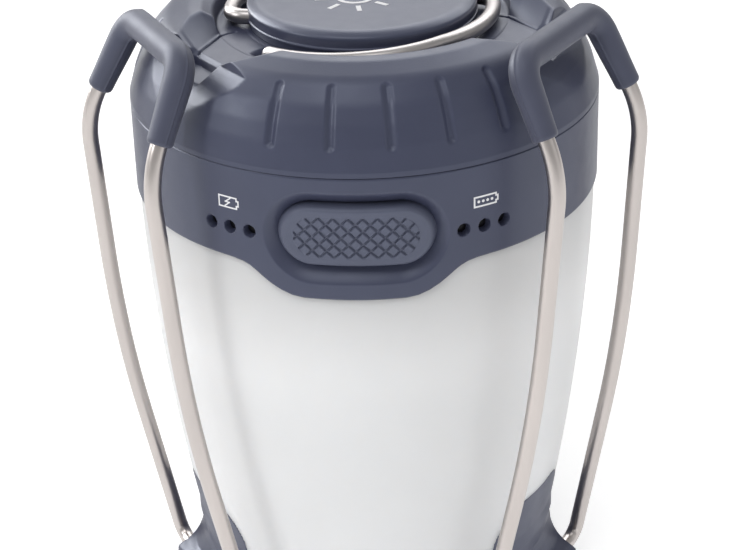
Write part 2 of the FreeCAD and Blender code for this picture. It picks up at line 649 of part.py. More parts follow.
def make_port_cover():
    plate = common("cover_plate", [
        padded("cover_prism", "XZ_Plane", box_outline("port_half_width",
               "port_height - port_half_height", "port_height + port_half_height"), "30", "20"),
        cylinder("cover_skin", "seam_radius - 0.05", "60", z="60")])
    thin = cut("cover_thin", plate, cylinder("cover_core", "seam_radius - port_depth + 0.15", "60", z="60"))
    plug = padded("cover_plug", "XZ_Plane", box_outline("3.1", "port_height - 0.7", "port_height + 0.7"),
                  "40.4", "1.2")
    keep("port_cover", spun(fuse("cover_solid", [thin, plug]), number("port_azimuth")))


# ---- cap, top disc and hooks ---------------------------------------------------------------

def grip_grooves():
    """Upright grooves in the cap's three panels, between its notches."""
    tools = []
    for panel in (0, 120, -120):
        for index in range(int(number("groove_count"))):
            angle = panel + number("cap_turn + (%d - (groove_count - 1) / 2) * groove_pitch" % index)
            name = "grip_%d_%d" % (panel % 360, index)
            prism = padded(name, "XZ_Plane", stadium_upright(), "20", "30")
            tools.append(spun(prism, angle))
    inner = turned("grip_core", [
        ("0", "seam"), ("shoulder_low_radius - groove_depth", "seam"),
        ("shoulder_low_radius - groove_depth", "shoulder_low", "shoulder_bend", 1),
        ("shoulder_radius - groove_depth", "shoulder"), ("0", "shoulder + 3")])
    return cut("grip_tool", fuse("grip_prisms", tools), inner)


def stadium_upright():
    half, low, high = "groove_half_width", "groove_low", "groove_high"
    return [("-groove_half_width", "%s + %s" % (low, half), half, 1), ("0", low, half, 1),
            (half, "%s + %s" % (low, half)), (half, "%s - %s" % (high, half), half, 1),
            ("0", high, half, 1), ("-groove_half_width", "%s - %s" % (high, half))]


def make_cap():
    wall = "cap_wall"
    shell = turned("cap_form", [
        ("collar_inner - 0.2", "chassis_top"), ("collar_inner - 0.2", "seam + seam_gap"),
        ("seam_radius", "seam + seam_gap"), ("seam_radius - 0.05", "seam + 1"),
        ("shoulder_low_radius", "shoulder_low", "shoulder_bend", 1),
        ("shoulder_radius", "shoulder"), ("crest_radius", "crest"),
        ("crest_inner", "crest"), ("channel_radius", "crest - 1.2"),
        ("channel_radius", "channel_floor"), ("cap_hole", "channel_floor"),
        ("cap_hole", "channel_floor - cap_wall"),
        ("channel_radius + 1", "channel_floor - cap_wall"),
        ("shoulder_radius - 1.5", "shoulder - 4.2"),
        ("shoulder_low_radius - 2.4", "shoulder_low - 0.5"),
        ("ledge_inner", "seam"), ("ledge_inner", "chassis_top")])
    notches = []
    for side, angle in LEGS:
        notch = padded("notch_%s" % side, "XZ_Plane", [
            ("-notch_floor_half", "channel_floor"), ("notch_floor_half", "channel_floor"),
            ("notch_top_half", "notch_top"), ("-notch_top_half", "notch_top")],
            "disc_radius + 1", "30")
        notches.append(spun(notch, angle + number("cap_turn")))
    holes = []
    screws = []
    for azimuth in DISC_SCREWS:
        x, y = around(azimuth, "screw_ring")
        tag = azimuth % 360
        shank = cylinder("disc_shank_%d" % tag, "screw_radius", "4", x, y, "spigot_bottom - 1.6")
        head = cylinder("disc_head_%d" % tag, "screw_head", "1.2", x, y, "spigot_bottom - 2.8")
        screws.append(fuse("disc_screw_%d" % tag, [shank, head]))
        holes.append(cylinder("disc_hole_%d" % tag, "screw_radius + 0.05", "4.2", x, y,
                              "spigot_bottom - 0.5"))
    front = padded("cap_front_room", "XZ_Plane", box_outline("control_half_width + 20",
                   "chassis_top - 1", "seam - 0.5"), "control_board_front - 3", "20")
    port = spun(padded("cap_port_room", "XZ_Plane", box_outline("6.5", "chassis_top - 1",
                "port_height + 3"), "30", "12"), number("port_azimuth"))
    body = cut("cap_notched", shell, fuse("cap_tools", notches + [front, port]))
    keep("cap_shell", cut("cap_grooved", body, grip_grooves()))
    disc = turned("disc_form", [
        ("0", "disc_top - disc_wall"), ("disc_hollow", "disc_top - disc_wall"),
        ("disc_hollow", "spigot_bottom"), ("spigot_radius", "spigot_bottom"),
        ("spigot_radius", "channel_floor + 0.05"), ("disc_radius", "channel_floor + 0.05"),
        ("disc_radius", "disc_top - disc_edge", "disc_edge", 1),
        ("disc_radius - disc_edge", "disc_top"), ("0", "disc_top")])
    bores = []
    for side in (1, -1):
        lie = FreeCAD.Rotation(FreeCAD.Vector(0, 1, 0), 90 * side)
        bores.append(cylinder("hook_bore_%d" % (side + 1), "hook_wire + pin_clearance",
                              "20", "%d * hook_stub" % side, "%d * hook_offset" % side,
                              "hook_height", lie))
        bores.append(cylinder("hook_pocket_%d" % (side + 1), "hook_head + 0.15",
                              "hook_head_length + 0.3", "%d * (hook_stub - 0.15)" % side,
                              "%d * hook_offset" % side, "hook_height", lie))
    keep("top_disc", cut("disc_bored", disc, fuse("disc_tools", bores + holes)))
    keep("disc_screws", group("disc_screw_group", screws))
    washer = cut("washer_solid", cylinder("washer_disc", "cap_hole + 2.4", "0.9", z="spigot_bottom - 1.0"),
                 cylinder("washer_hole", "disc_hollow", "3", z="spigot_bottom - 2"))
    drill = fuse("washer_drills", [cylinder("washer_drill_%d" % index, "screw_radius + 0.1", "3",
                 *around(azimuth, "screw_ring"), "spigot_bottom - 2")
                 for index, azimuth in enumerate(DISC_SCREWS)])
    keep("retaining_washer", cut("washer_drilled", washer, drill))


def hook_shape():
    """Front hook: a stub into the disc's right side, a bend, and an arc round to the left front."""
    ring, bend = number("hook_radius"), number("hook_bend")
    offset, height = number("hook_offset"), number("hook_height")
    bend_y = offset - bend
    bend_x = math.sqrt((ring - bend) ** 2 - bend_y ** 2)
    stub_end = FreeCAD.Vector(number("hook_stub"), offset, height)
    bend_start = FreeCAD.Vector(bend_x, offset, height)
    grow = ring / (ring - bend)
    bend_end = FreeCAD.Vector(bend_x * grow, bend_y * grow, height)
    away = math.atan2(bend_end.y, bend_end.x)
    turn_angle = (math.pi / 2 + away) / 2
    bend_middle = FreeCAD.Vector(bend_x + bend * math.cos(turn_angle),
                                 bend_y + bend * math.sin(turn_angle), height)
    tip = math.radians(-90 - number("hook_tip"))
    middle = (away + tip) / 2
    on_ring = [FreeCAD.Vector(ring * math.cos(angle), ring * math.sin(angle), height)
               for angle in (middle, tip)]
    path = Part.Wire([Part.LineSegment(stub_end, bend_start).toShape(),
                      Part.Arc(bend_start, bend_middle, bend_end).toShape(),
                      Part.Arc(bend_end, on_ring[0], on_ring[1]).toShape()])
    rod = rod_along(path, number("hook_wire"))
    head = Part.makeCylinder(number("hook_head"), number("hook_head_length"), stub_end,
                             FreeCAD.Vector(1, 0, 0))
    return rod.fuse([head, Part.makeSphere(number("hook_wire"), on_ring[1])]).removeSplitter()


def make_hooks():
    for side, angle in (("front", 0), ("rear", 180)):
        keep("hook_%s" % side, shaped("hook_wire_%s" % side, hook_shape(), angle))


# ---- legs ----------------------------------------------------------------------------------

def arm_points(sign):
    """Corner points of one arm in the front leg's place, from the hinge pin up to the head."""
    return [vector("%d * pin_inner_end" % sign, "-pivot_radius", "pivot_height"),
            vector("%d * arm_foot_spread" % sign, "-pivot_radius", "pivot_height"),
            vector("%d * arm_knee_spread" % sign, "-arm_knee_radius", "arm_knee_height"),
            vector("%d * arm_neck_spread" % sign, "-arm_neck_radius", "arm_neck_height"),
            vector("%d * arm_head_spread" % sign, "-arm_head_radius", "arm_head_height")]


def make_legs():
    left, right = arm_points(-1), arm_points(1)
    bends = [number(name) for name in ("arm_foot_bend", "arm_knee_bend", "arm_neck_bend",
                                       "arm_head_bend")]
    wire = rod_along(bent_path(left + right[::-1], bends + bends[::-1]), number("leg_wire"))
    share = number("grip_start")
    starts = [points[3] + (points[4] - points[3]) * share for points in (left, right)]
    path = bent_path([starts[0], left[4], right[4], starts[1]], bends[3:] * 2)
    grip = rod_along(path, number("grip_radius")).cut(rod_along(path, number("leg_wire")))
    for side, angle in LEGS:
        keep("leg_wire_%s" % side, shaped("leg_frame_%s" % side, wire, angle))
        keep("foot_grip_%s" % side, shaped("leg_grip_%s" % side, grip, angle))


def check_and_write():
    """Stop if any object failed, then write each sub-part's file."""
    document.recompute()
    for thing in document.Objects:
        if "Invalid" in thing.State or "Error" in thing.State:
            raise RuntimeError("%s failed: %s" % (thing.Name, thing.State))
    os.makedirs("parts", exist_ok=True)
    for thing in nodes:
        shape = thing.Shape
        if shape.isNull() or not shape.isValid() or not shape.Solids:
            raise RuntimeError("%s has no valid solid" % thing.Label)
        shape.exportStep("parts/%s.step" % thing.Label)
        print("%-20s %2d solids %10.1f mm3" % (thing.Label, len(shape.Solids), shape.Volume))


make_base()
make_door()
make_battery()
make_globe()
make_collar()
make_switch()
make_chassis()
make_port_cover()
make_cap()
make_hooks()
make_legs()
check_and_write()
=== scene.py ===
import json
import math

import bmesh
import bpy
import numpy as np
from mathutils import Matrix, Vector


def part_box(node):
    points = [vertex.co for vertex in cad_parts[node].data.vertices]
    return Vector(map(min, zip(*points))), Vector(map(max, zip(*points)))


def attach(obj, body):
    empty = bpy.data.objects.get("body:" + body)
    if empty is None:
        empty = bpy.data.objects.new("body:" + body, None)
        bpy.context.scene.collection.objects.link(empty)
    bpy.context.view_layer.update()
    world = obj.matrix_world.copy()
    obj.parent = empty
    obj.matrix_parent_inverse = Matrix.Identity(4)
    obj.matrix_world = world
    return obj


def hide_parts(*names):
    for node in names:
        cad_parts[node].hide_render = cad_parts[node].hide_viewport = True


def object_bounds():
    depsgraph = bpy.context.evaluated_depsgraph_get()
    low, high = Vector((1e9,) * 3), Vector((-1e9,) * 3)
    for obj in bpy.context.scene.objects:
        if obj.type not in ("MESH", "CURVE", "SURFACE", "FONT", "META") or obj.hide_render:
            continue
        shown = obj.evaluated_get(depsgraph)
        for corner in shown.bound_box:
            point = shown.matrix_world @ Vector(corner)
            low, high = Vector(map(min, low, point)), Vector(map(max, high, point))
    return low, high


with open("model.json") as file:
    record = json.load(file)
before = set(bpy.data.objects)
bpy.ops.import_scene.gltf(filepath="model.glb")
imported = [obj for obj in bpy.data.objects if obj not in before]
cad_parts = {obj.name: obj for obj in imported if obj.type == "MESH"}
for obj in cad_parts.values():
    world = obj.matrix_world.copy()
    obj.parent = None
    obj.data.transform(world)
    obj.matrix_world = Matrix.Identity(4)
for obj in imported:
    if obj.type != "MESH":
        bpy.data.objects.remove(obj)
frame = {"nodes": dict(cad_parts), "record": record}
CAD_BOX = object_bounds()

# Looks of a round camping lantern with folding wire legs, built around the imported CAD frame.
# Shapes are worked out in millimetres in the row frame and written to the meshes in metres.
# An azimuth is counted from the front, -Y, towards +X, in degrees.

MM = 0.001
LEGS = (("right", 60.0), ("left", -60.0), ("rear", 180.0))
ROUND = 360.0


def node_box(node):
    """Lowest and highest corner of a CAD node, in millimetres."""
    low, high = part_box(node)
    return np.array(low) / MM, np.array(high) / MM


CAP_HIGH = node_box("cap_shell")[1]
COLLAR_HIGH = node_box("collar")[1]
GLOBE_LOW = node_box("globe")[0]
DISC_LOW, DISC_HIGH = node_box("top_disc")
HOOK_LOW, HOOK_HIGH = node_box("hook_front")
BUTTON_LOW, BUTTON_HIGH = node_box("power_button")
COVER_LOW, COVER_HIGH = node_box("port_cover")
BASE_LOW = node_box("base_cup")[0]

SEAM = COLLAR_HIGH[2]
COLLAR_RADIUS = COLLAR_HIGH[0]
CREST = CAP_HIGH[2]
SWITCH_HEIGHT = (BUTTON_LOW[2] + BUTTON_HIGH[2]) / 2
HOOK_HEIGHT = (HOOK_LOW[2] + HOOK_HIGH[2]) / 2


# ---- mesh helpers ----

def smooth(t):
    """0 below 0, 1 above 1 and an S-curve between."""
    t = np.clip(t, 0.0, 1.0)
    return t * t * (3.0 - 2.0 * t)


def soft_min(a, b, width):
    """The lower of two heights, with the corner between them rounded over a width."""
    h = np.clip(0.5 + 0.5 * (b - a) / width, 0.0, 1.0)
    return b + (a - b) * h - width * h * (1.0 - h)


def stadium(x, z, half_width, half_height):
    """Signed distance to a racetrack outline, negative inside."""
    straight = half_width - half_height
    return np.hypot(np.maximum(np.abs(x) - straight, 0.0), z) - half_height


def edge_drop(t):
    """How far a quarter-round edge drops: all of it at the edge, t = 0, and none from t = 1 on."""
    return 1.0 - np.sqrt(1.0 - (1.0 - np.clip(t, 0.0, 1.0)) ** 2)


def unit(v):
    """A vector of length one in the same direction."""
    return v / np.linalg.norm(v)


def arc_corner(before, corner, after, radius, step):
    """Points of a tangent arc at a corner, any number of dimensions."""
    back, ahead = unit(before - corner), unit(after - corner)
    angle = math.acos(float(np.clip(back @ ahead, -1.0, 1.0)))
    half_turn = (math.pi - angle) / 2
    if radius < 1e-6 or half_turn < 1e-4:
        return [corner]
    reach = radius * math.tan(half_turn)
    room = 0.49 * min(np.linalg.norm(before - corner), np.linalg.norm(after - corner))
    if reach > room:
        radius *= room / reach
        reach = room
    first = corner + back * reach
    centre = corner + unit(back + ahead) * radius / math.cos(half_turn)
    out = first - centre
    side = -back
    count = max(3, int(math.ceil(2 * half_turn * radius / step)))
    return [centre + out * math.cos(t) + side * radius * math.sin(t)
            for t in np.linspace(0.0, 2 * half_turn, count + 1)]


def rounded(corners, step, closed=False):
    """A line through corners given as (coordinates..., radius), in steps of a given length."""
    points = [np.array(c[:-1], float) for c in corners]
    radii = [c[-1] for c in corners]
    count = len(points)
    chain = []
    for i in range(count):
        if not closed and i in (0, count - 1):
            chain.append(points[i])
            continue
        chain += arc_corner(points[i - 1], points[i], points[(i + 1) % count], radii[i], step)
    if closed:
        chain.append(chain[0])
    out = [chain[0]]
    for a, b in zip(chain, chain[1:]):
        length = np.linalg.norm(b - a)
        if length < 1e-6:
            continue
        parts = max(1, int(round(length / step)))
        out += [a + (b - a) * k / parts for k in range(1, parts + 1)]
    if closed:
        out.pop()
    return np.array(out)


def quads(nu, nv, wrap_u, wrap_v, start=0):
    """Faces of a grid of nu by nv points, as an array of four indices each."""
    u = np.arange(nu if wrap_u else nu - 1)
    v = np.arange(nv if wrap_v else nv - 1)
    a, b = np.meshgrid(u, v, indexing="ij")
    a2, b2 = (a + 1) % nu, (b + 1) % nv
    faces = np.stack([a * nv + b, a2 * nv + b, a2 * nv + b2, a * nv + b2], -1)
    return faces.reshape(-1, 4) + start


SHARP_EDGE = math.radians(40.0)


class Shape:
    """Grids and fans collected into one mesh."""

    def __init__(self):
        self.points = []
        self.faces = []
        self.count = 0

    def grid(self, points, wrap_u=False, wrap_v=False):
        """Add points of shape (nu, nv, 3) and the quads between them. Returns the first index."""
        nu, nv = points.shape[:2]
        start = self.count
        self.points.append(points.reshape(-1, 3))
        self.faces += quads(nu, nv, wrap_u, wrap_v, start).tolist()
        self.count += nu * nv
        return start

    def shell(self, front, back):
        """Add two skins with the same grid and the rim that joins them."""
        nu, nv = front.shape[:2]
        first = self.grid(front)
        second = self.grid(back)
        edge = [(i, 0) for i in range(nu)] + [(nu - 1, j) for j in range(1, nv)]
        edge += [(i, nv - 1) for i in range(nu - 2, -1, -1)]
        edge += [(0, j) for j in range(nv - 2, 0, -1)]
        loop = [i * nv + j for i, j in edge]
        for a, b in zip(loop, loop[1:] + loop[:1]):
            self.faces.append([first + a, first + b, second + b, second + a])

    def fan(self, ring, tip):
        """Close a ring of indices with triangles to a new tip point."""
        self.points.append(np.array(tip, float).reshape(1, 3))
        for a, b in zip(ring, ring[1:] + ring[:1]):
            self.faces.append([a, b, self.count])
        self.count += 1

    def make(self, name, body, material, node="", merge=True):
        mesh = bpy.data.meshes.new(name)
        points = np.concatenate(self.points) * MM
        mesh.from_pydata(points.tolist(), [], self.faces)
        build = bmesh.new()
        build.from_mesh(mesh)
        if merge:
            bmesh.ops.remove_doubles(build, verts=build.verts, dist=2e-7)
            bmesh.ops.dissolve_degenerate(build, edges=build.edges, dist=1e-8)
        loose = [v for v in build.verts if not v.link_faces]
        bmesh.ops.delete(build, geom=loose, context="VERTS")
        bmesh.ops.recalc_face_normals(build, faces=build.faces)
        build.to_mesh(mesh)
        build.free()
        mesh.polygons.foreach_set("use_smooth", [True] * len(mesh.polygons))
        mesh.set_sharp_from_angle(angle=SHARP_EDGE)
        mesh.materials.append(material)
        piece = bpy.data.objects.new(name, mesh)
        bpy.context.scene.collection.objects.link(piece)
        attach(piece, body)
        if node:
            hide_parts(node)


def around(azimuth, radius, height):
    """Points in the row frame from azimuth in degrees, radius and height arrays."""
    a = np.radians(azimuth)
    return np.stack(np.broadcast_arrays(radius * np.sin(a), -radius * np.cos(a), height), -1)


def leg_point(azimuth, across, out, height):
    """A point from a leg's own axes: across the leg, out from the lantern's axis, and up."""
    a = np.radians(azimuth)
    return np.array([out * math.sin(a) + across * math.cos(a),
                     -out * math.cos(a) + across * math.sin(a), height])


def turned(profile, azimuths, change=None):
    """A grid of a closed profile of (radius, height) turned through azimuths."""
    radius = np.broadcast_to(profile[None, :, 0], (len(azimuths), len(profile))).copy()
    height = np.broadcast_to(profile[None, :, 1], (len(azimuths), len(profile))).copy()
    angle = np.broadcast_to(azimuths[:, None], radius.shape)
    if change:
        radius, height = change(angle, radius, height)
    return around(angle, radius, height)


def sweep(shape, path, radii, sides, upright, bump=None):
    """A round skin along a path. upright is the direction that the section's angle starts from,
    and bump(angle) is added to the radius. Both ends close in a fan."""
    path = np.array(path, float)
    tangent = np.gradient(path, axis=0)
    tangent /= np.linalg.norm(tangent, axis=1)[:, None]
    angles = np.linspace(0.0, 2 * math.pi, sides, endpoint=False)
    lift = bump(angles) if bump else np.zeros(sides)
    first = np.array(upright, float)
    rings = []
    for i, (point, along) in enumerate(zip(path, tangent)):
        first = unit(first - (first @ along) * along)
        second = np.cross(along, first)
        share = min(1.0, radii[i] / max(radii))
        reach = radii[i] + lift * share
        rings.append(point + reach[:, None] * (np.cos(angles)[:, None] * first
                                               + np.sin(angles)[:, None] * second))
    start = shape.grid(np.array(rings), wrap_v=True)
    last = start + (len(path) - 1) * sides
    shape.fan(list(range(start, start + sides)), path[0])
    shape.fan(list(range(last, last + sides)), path[-1])


def ball_end(path, radius):
    """A rod's path and radii, with a half ball added at the far end."""
    path = [np.array(p, float) for p in path]
    turns = np.linspace(0.0, math.pi / 2, 7)[1:]
    along = unit(path[-1] - path[-2])
    radii = [radius] * len(path) + [max(radius * math.cos(t), 0.02) for t in turns]
    return path + [path[-1] + along * radius * math.sin(t) for t in turns], radii


# ---- materials ----

GLOW_TINT = (1.0, 0.95, 0.9)
GLOW_REACH = 7.0


def preset(node, values):
    """Set a node's own values by the names of its inputs."""
    for name, value in values.items():
        node.inputs[name].default_value = value


def finish(name, colour, rough, metallic=0.0, drift=0.06, grain=0.15, depth=0.004, mottle=9.0,
           stretch=(1.0, 1.0, 1.0), specular=0.5, subsurface=0.0, rough_drift=0.06, sheen=0.0,
           tint=(1.0, 1.0, 1.0)):
    """A procedural finish: broad colour drift, uneven gloss and a fine grain. Grain is the size
    of the grain, depth its height and mottle the size of the colour's patches, in millimetres."""
    material = bpy.data.materials.new(name)
    material.use_nodes = True
    tree = material.node_tree
    nodes, links = tree.nodes, tree.links
    shader = nodes["Principled BSDF"]
    preset(shader, {"Metallic": metallic, "Specular IOR Level": specular,
                    "Specular Tint": (*tint, 1.0), "Sheen Weight": sheen})
    if subsurface:
        preset(shader, {"Subsurface Weight": subsurface, "Subsurface Radius": GLOW_TINT,
                        "Subsurface Scale": GLOW_REACH * MM})
    place = nodes.new("ShaderNodeTexCoord")
    mapping = nodes.new("ShaderNodeMapping")
    mapping.inputs["Scale"].default_value = stretch
    links.new(place.outputs["Object"], mapping.inputs["Vector"])

    def noise(size, detail):
        texture = nodes.new("ShaderNodeTexNoise")
        preset(texture, {"Scale": 1.0 / (size * MM), "Detail": detail})
        links.new(mapping.outputs["Vector"], texture.inputs["Vector"])
        return texture.outputs["Fac"]

    ramp = nodes.new("ShaderNodeValToRGB")
    for stop, position, share in zip(ramp.color_ramp.elements, (0.3, 0.7), (1 - drift, 1 + drift)):
        stop.position = position
        stop.color = (*[min(1.0, c * share) for c in colour], 1.0)
    links.new(noise(mottle, 4.0), ramp.inputs["Fac"])
    links.new(ramp.outputs["Color"], shader.inputs["Base Color"])
    gloss = nodes.new("ShaderNodeMapRange")
    preset(gloss, {"To Min": max(0.02, rough - rough_drift), "To Max": rough + rough_drift})
    links.new(noise(mottle / 3.0, 3.0), gloss.inputs["Value"])
    links.new(gloss.outputs["Result"], shader.inputs["Roughness"])
    bump = nodes.new("ShaderNodeBump")
    bump.inputs["Distance"].default_value = depth * MM
    links.new(noise(grain, 2.0), bump.inputs["Height"])
    links.new(bump.outputs["Normal"], shader.inputs["Normal"])
    return material


SLATE = (0.044, 0.049, 0.086)
SHEEN_TINT = (0.80, 0.86, 1.0)
slate_plastic = finish("slate_plastic", SLATE, 0.42, drift=0.05, grain=0.22, depth=0.012,
                       specular=0.6, tint=SHEEN_TINT)
slate_disc = finish("slate_disc", SLATE, 0.40, drift=0.05, grain=0.22, depth=0.010,
                    specular=0.66, tint=SHEEN_TINT)
slate_rubber = finish("slate_rubber", (0.056, 0.060, 0.094), 0.55, grain=0.30, depth=0.012,
                      sheen=0.12, specular=0.6, tint=SHEEN_TINT)
pad_rubber = finish("pad_rubber", (0.078, 0.086, 0.128), 0.50, grain=0.25, depth=0.01,
                    specular=0.6, tint=SHEEN_TINT)
frosted = finish("frosted_globe", (0.81, 0.81, 0.815), 0.38, drift=0.015, grain=0.4,
                 subsurface=0.85, mottle=18.0)
stainless = finish("stainless_wire", (0.53, 0.49, 0.47), 0.34, metallic=1.0, grain=0.12,
                   mottle=6.0, stretch=(1.0, 1.0, 0.12), rough_drift=0.05)
hook_steel = finish("hook_steel", (0.40, 0.38, 0.375), 0.36, metallic=1.0, grain=0.12,
                    mottle=6.0, rough_drift=0.05)
printed = finish("white_print", (0.80, 0.80, 0.82), 0.5, drift=0.02, grain=0.2)
smoked = finish("smoked_window", (0.006, 0.006, 0.008), 0.30, drift=0.2, grain=0.4, depth=0.002,
                specular=0.15)


def paint_shade_upwards(material, low, high, factor):
    """Paint shade into a finish: darker towards a height, standing in for the shade where dark
    parts sit close behind the shell.
    """
    tree = material.node_tree
    nodes, links = tree.nodes, tree.links
    shader = nodes["Principled BSDF"]
    source = shader.inputs["Base Color"].links[0].from_socket
    place = nodes.new("ShaderNodeTexCoord")
    parts = nodes.new("ShaderNodeSeparateXYZ")
    links.new(place.outputs["Object"], parts.inputs["Vector"])
    height = nodes.new("ShaderNodeMapRange")
    height.interpolation_type = "SMOOTHSTEP"
    preset(height, {"From Min": low * MM, "From Max": high * MM, "To Min": 1.0, "To Max": factor})
    links.new(parts.outputs["Z"], height.inputs["Value"])
    mixed = nodes.new("ShaderNodeVectorMath")
    mixed.operation = "SCALE"
    links.new(source, mixed.inputs["Vector"])
    links.new(height.outputs["Result"], mixed.inputs["Scale"])
    links.new(mixed.outputs["Vector"], shader.inputs["Base Color"])


# Painted shade: the globe's colour darkens towards the collar, in place of the dimmer light there.
paint_shade_upwards(frosted, 66.0, 91.0, 0.76)
INNER = {
    "white_reflector": finish("white_reflector", (0.85, 0.85, 0.84), 0.35, drift=0.02),
    "circuit_board": finish("circuit_board", (0.02, 0.12, 0.05), 0.4, drift=0.15, mottle=3.0),
    "spring_brass": finish("spring_brass", (0.75, 0.60, 0.32), 0.28, metallic=1.0),
    "cell_wrap": finish("cell_wrap", (0.45, 0.16, 0.05), 0.3, drift=0.1),
    "screw_steel": finish("screw_steel", (0.55, 0.55, 0.55), 0.3, metallic=1.0),
    "black_rubber": finish("black_rubber", (0.02, 0.02, 0.022), 0.6, drift=0.15),
    "aluminium": finish("aluminium", (0.78, 0.78, 0.80), 0.35, metallic=1.0,
                        stretch=(1.0, 1.0, 0.1)),
    "dark_plastic": finish("dark_plastic", (0.035, 0.036, 0.042), 0.45, drift=0.1),
    "lamp_white": finish("lamp_white", (0.85, 0.82, 0.55), 0.3, drift=0.04),
    "slate_plastic": slate_plastic,
    "slate_rubber": slate_rubber,
    "frosted_globe": frosted,
    "stainless_wire": stainless,
    "smoked_window": smoked,
}
for entry in frame["record"]["subparts"]:
    data = frame["nodes"][entry["node"]].data
    data.materials.clear()
    data.materials.append(INNER[entry["material_slot"]])


# ---- cap ----

CAP_TURN = 9.2
NOTCHES = tuple(leg[1] + CAP_TURN for leg in LEGS)
NOTCH_FLOOR = CREST - 3.8
VALLEY_HEIGHTS = CREST + np.array([-13.0, -11.4, -10.2, -8.2, -6.8, -5.5, -4.5, -3.8, -2.8, 0.0,
                                   1.0])
VALLEY_REACH = np.array([42.40, 41.35, 40.55, 39.15, 37.95, 36.60, 35.40, 34.50, 33.3, 32.4, 32.2])
GROOVE_PITCH = 14.0
GROOVE_COUNT = 5
GROOVE_HALF = 1.0
GROOVE_DEPTH = 0.6
GROOVE_LOW = SEAM + 4.9
GROOVE_HIGH = SEAM + 12.9


def nearest(azimuth, centres):
    """Azimuth measured from the nearest of several centres, from -180 to 180."""
    gaps = [(azimuth - c + 180.0) % ROUND - 180.0 for c in centres]
    best = gaps[0]
    for gap in gaps[1:]:
        best = np.where(np.abs(gap) < np.abs(best), gap, best)
    return best


NOTCH_REACH = math.radians(40.0)
FOOT_EDGE = ((24.0, 31.5), (8.6, 4.0))
HEAD_EDGE = ((26.0, 34.0), (13.0, 11.8))
TONGUE_DROP = ((31.2, 32.2, 32.5, 36.0), (0.0, 0.75, 1.7, 1.9))
SLOT_WIDTH = 0.20
SLOT_DEPTH = 0.45
RUT_HALF = 1.5
HOOK_WIRE = 1.35
HOOK_RING = 23.2
HOOK_BEND = 3.2
HOOK_OFFSET = 4.6
HOOK_TIP = 39.5
HOOK_DROOP = 1.9
DROOP_START = 38.0


def ring_droop(azimuth):
    """Share of the hook ring's droop at an azimuth: none at its bend and all at its tip."""
    turned_to = (np.asarray(azimuth, float) + 180.0) % ROUND - 180.0
    share = np.clip((DROOP_START - turned_to) / (DROOP_START + HOOK_TIP), 0.0, 1.0)
    return share * smooth((turned_to + HOOK_TIP + 9.0) / 5.0)


def cut_notches(azimuth, radius, height):
    """Shape the three notches: a flat valley down the shoulder, a tongue and two end walls.
    The channel of the hooks also gets a shallow rut where the ring droops."""
    turn = np.radians(nearest(azimuth, NOTCHES))
    facing = np.abs(turn) < NOTCH_REACH
    out = radius * np.cos(turn)
    limit = np.interp(height, VALLEY_HEIGHTS, VALLEY_REACH)
    shaped = soft_min(out, limit, 0.14)
    outer = facing & (radius > 30.0) & (height > VALLEY_HEIGHTS[0])
    radius = np.where(outer, shaped / np.cos(turn), radius)
    out = radius * np.cos(turn)
    across = np.abs(radius * np.sin(turn))
    foot = np.interp(out, *FOOT_EDGE)
    head = np.interp(out, *HEAD_EDGE)
    drop = np.interp(out, *TONGUE_DROP)
    strip = 0.7 * smooth((33.0 - out) / 1.0)
    rise = np.clip((across - foot - strip) / np.maximum(head - foot - strip, 0.5), 0.0, 3.0)
    floor = NOTCH_FLOOR - drop * smooth((foot + 1.6 - across) / 1.6)
    floor = floor + 0.12 * smooth((across - foot) / 0.3)
    slot = np.exp(-((across - foot) / SLOT_WIDTH) ** 2) * smooth((31.9 - out) / 0.4)
    floor = floor - SLOT_DEPTH * slot * smooth((out - 20.8) / 0.6)
    wall = floor + rise * (CREST + 0.4 - NOTCH_FLOOR)
    top = facing & (radius > 21.0) & (height > CREST - 8.0)
    height = np.where(top, soft_min(height, wall, 0.35), height)
    rut = np.exp(-((radius - HOOK_RING) / RUT_HALF) ** 4) * HOOK_DROOP * 0.8
    rut = rut * (ring_droop(azimuth) + ring_droop(azimuth + 180.0)) * (height > NOTCH_FLOOR - 0.5)
    return radius, height - np.where(radius < 26.0, rut, 0.0)


def cut_grooves(azimuth, radius, height):
    """Press the short upright grooves into each panel between the notches."""
    middle = nearest(azimuth, [c + 60.0 for c in NOTCHES])
    index = np.clip(np.round(middle / GROOVE_PITCH), -(GROOVE_COUNT // 2), GROOVE_COUNT // 2)
    across = np.radians(middle - index * GROOVE_PITCH) * radius
    beyond = np.maximum(np.maximum(GROOVE_LOW - height, height - GROOVE_HIGH), 0.0)
    away = np.hypot(across, beyond * 1.2) / GROOVE_HALF
    bite = GROOVE_DEPTH * (1.0 - smooth(away)) ** 0.8
    return np.where(radius > 33.0, radius - bite, radius), height


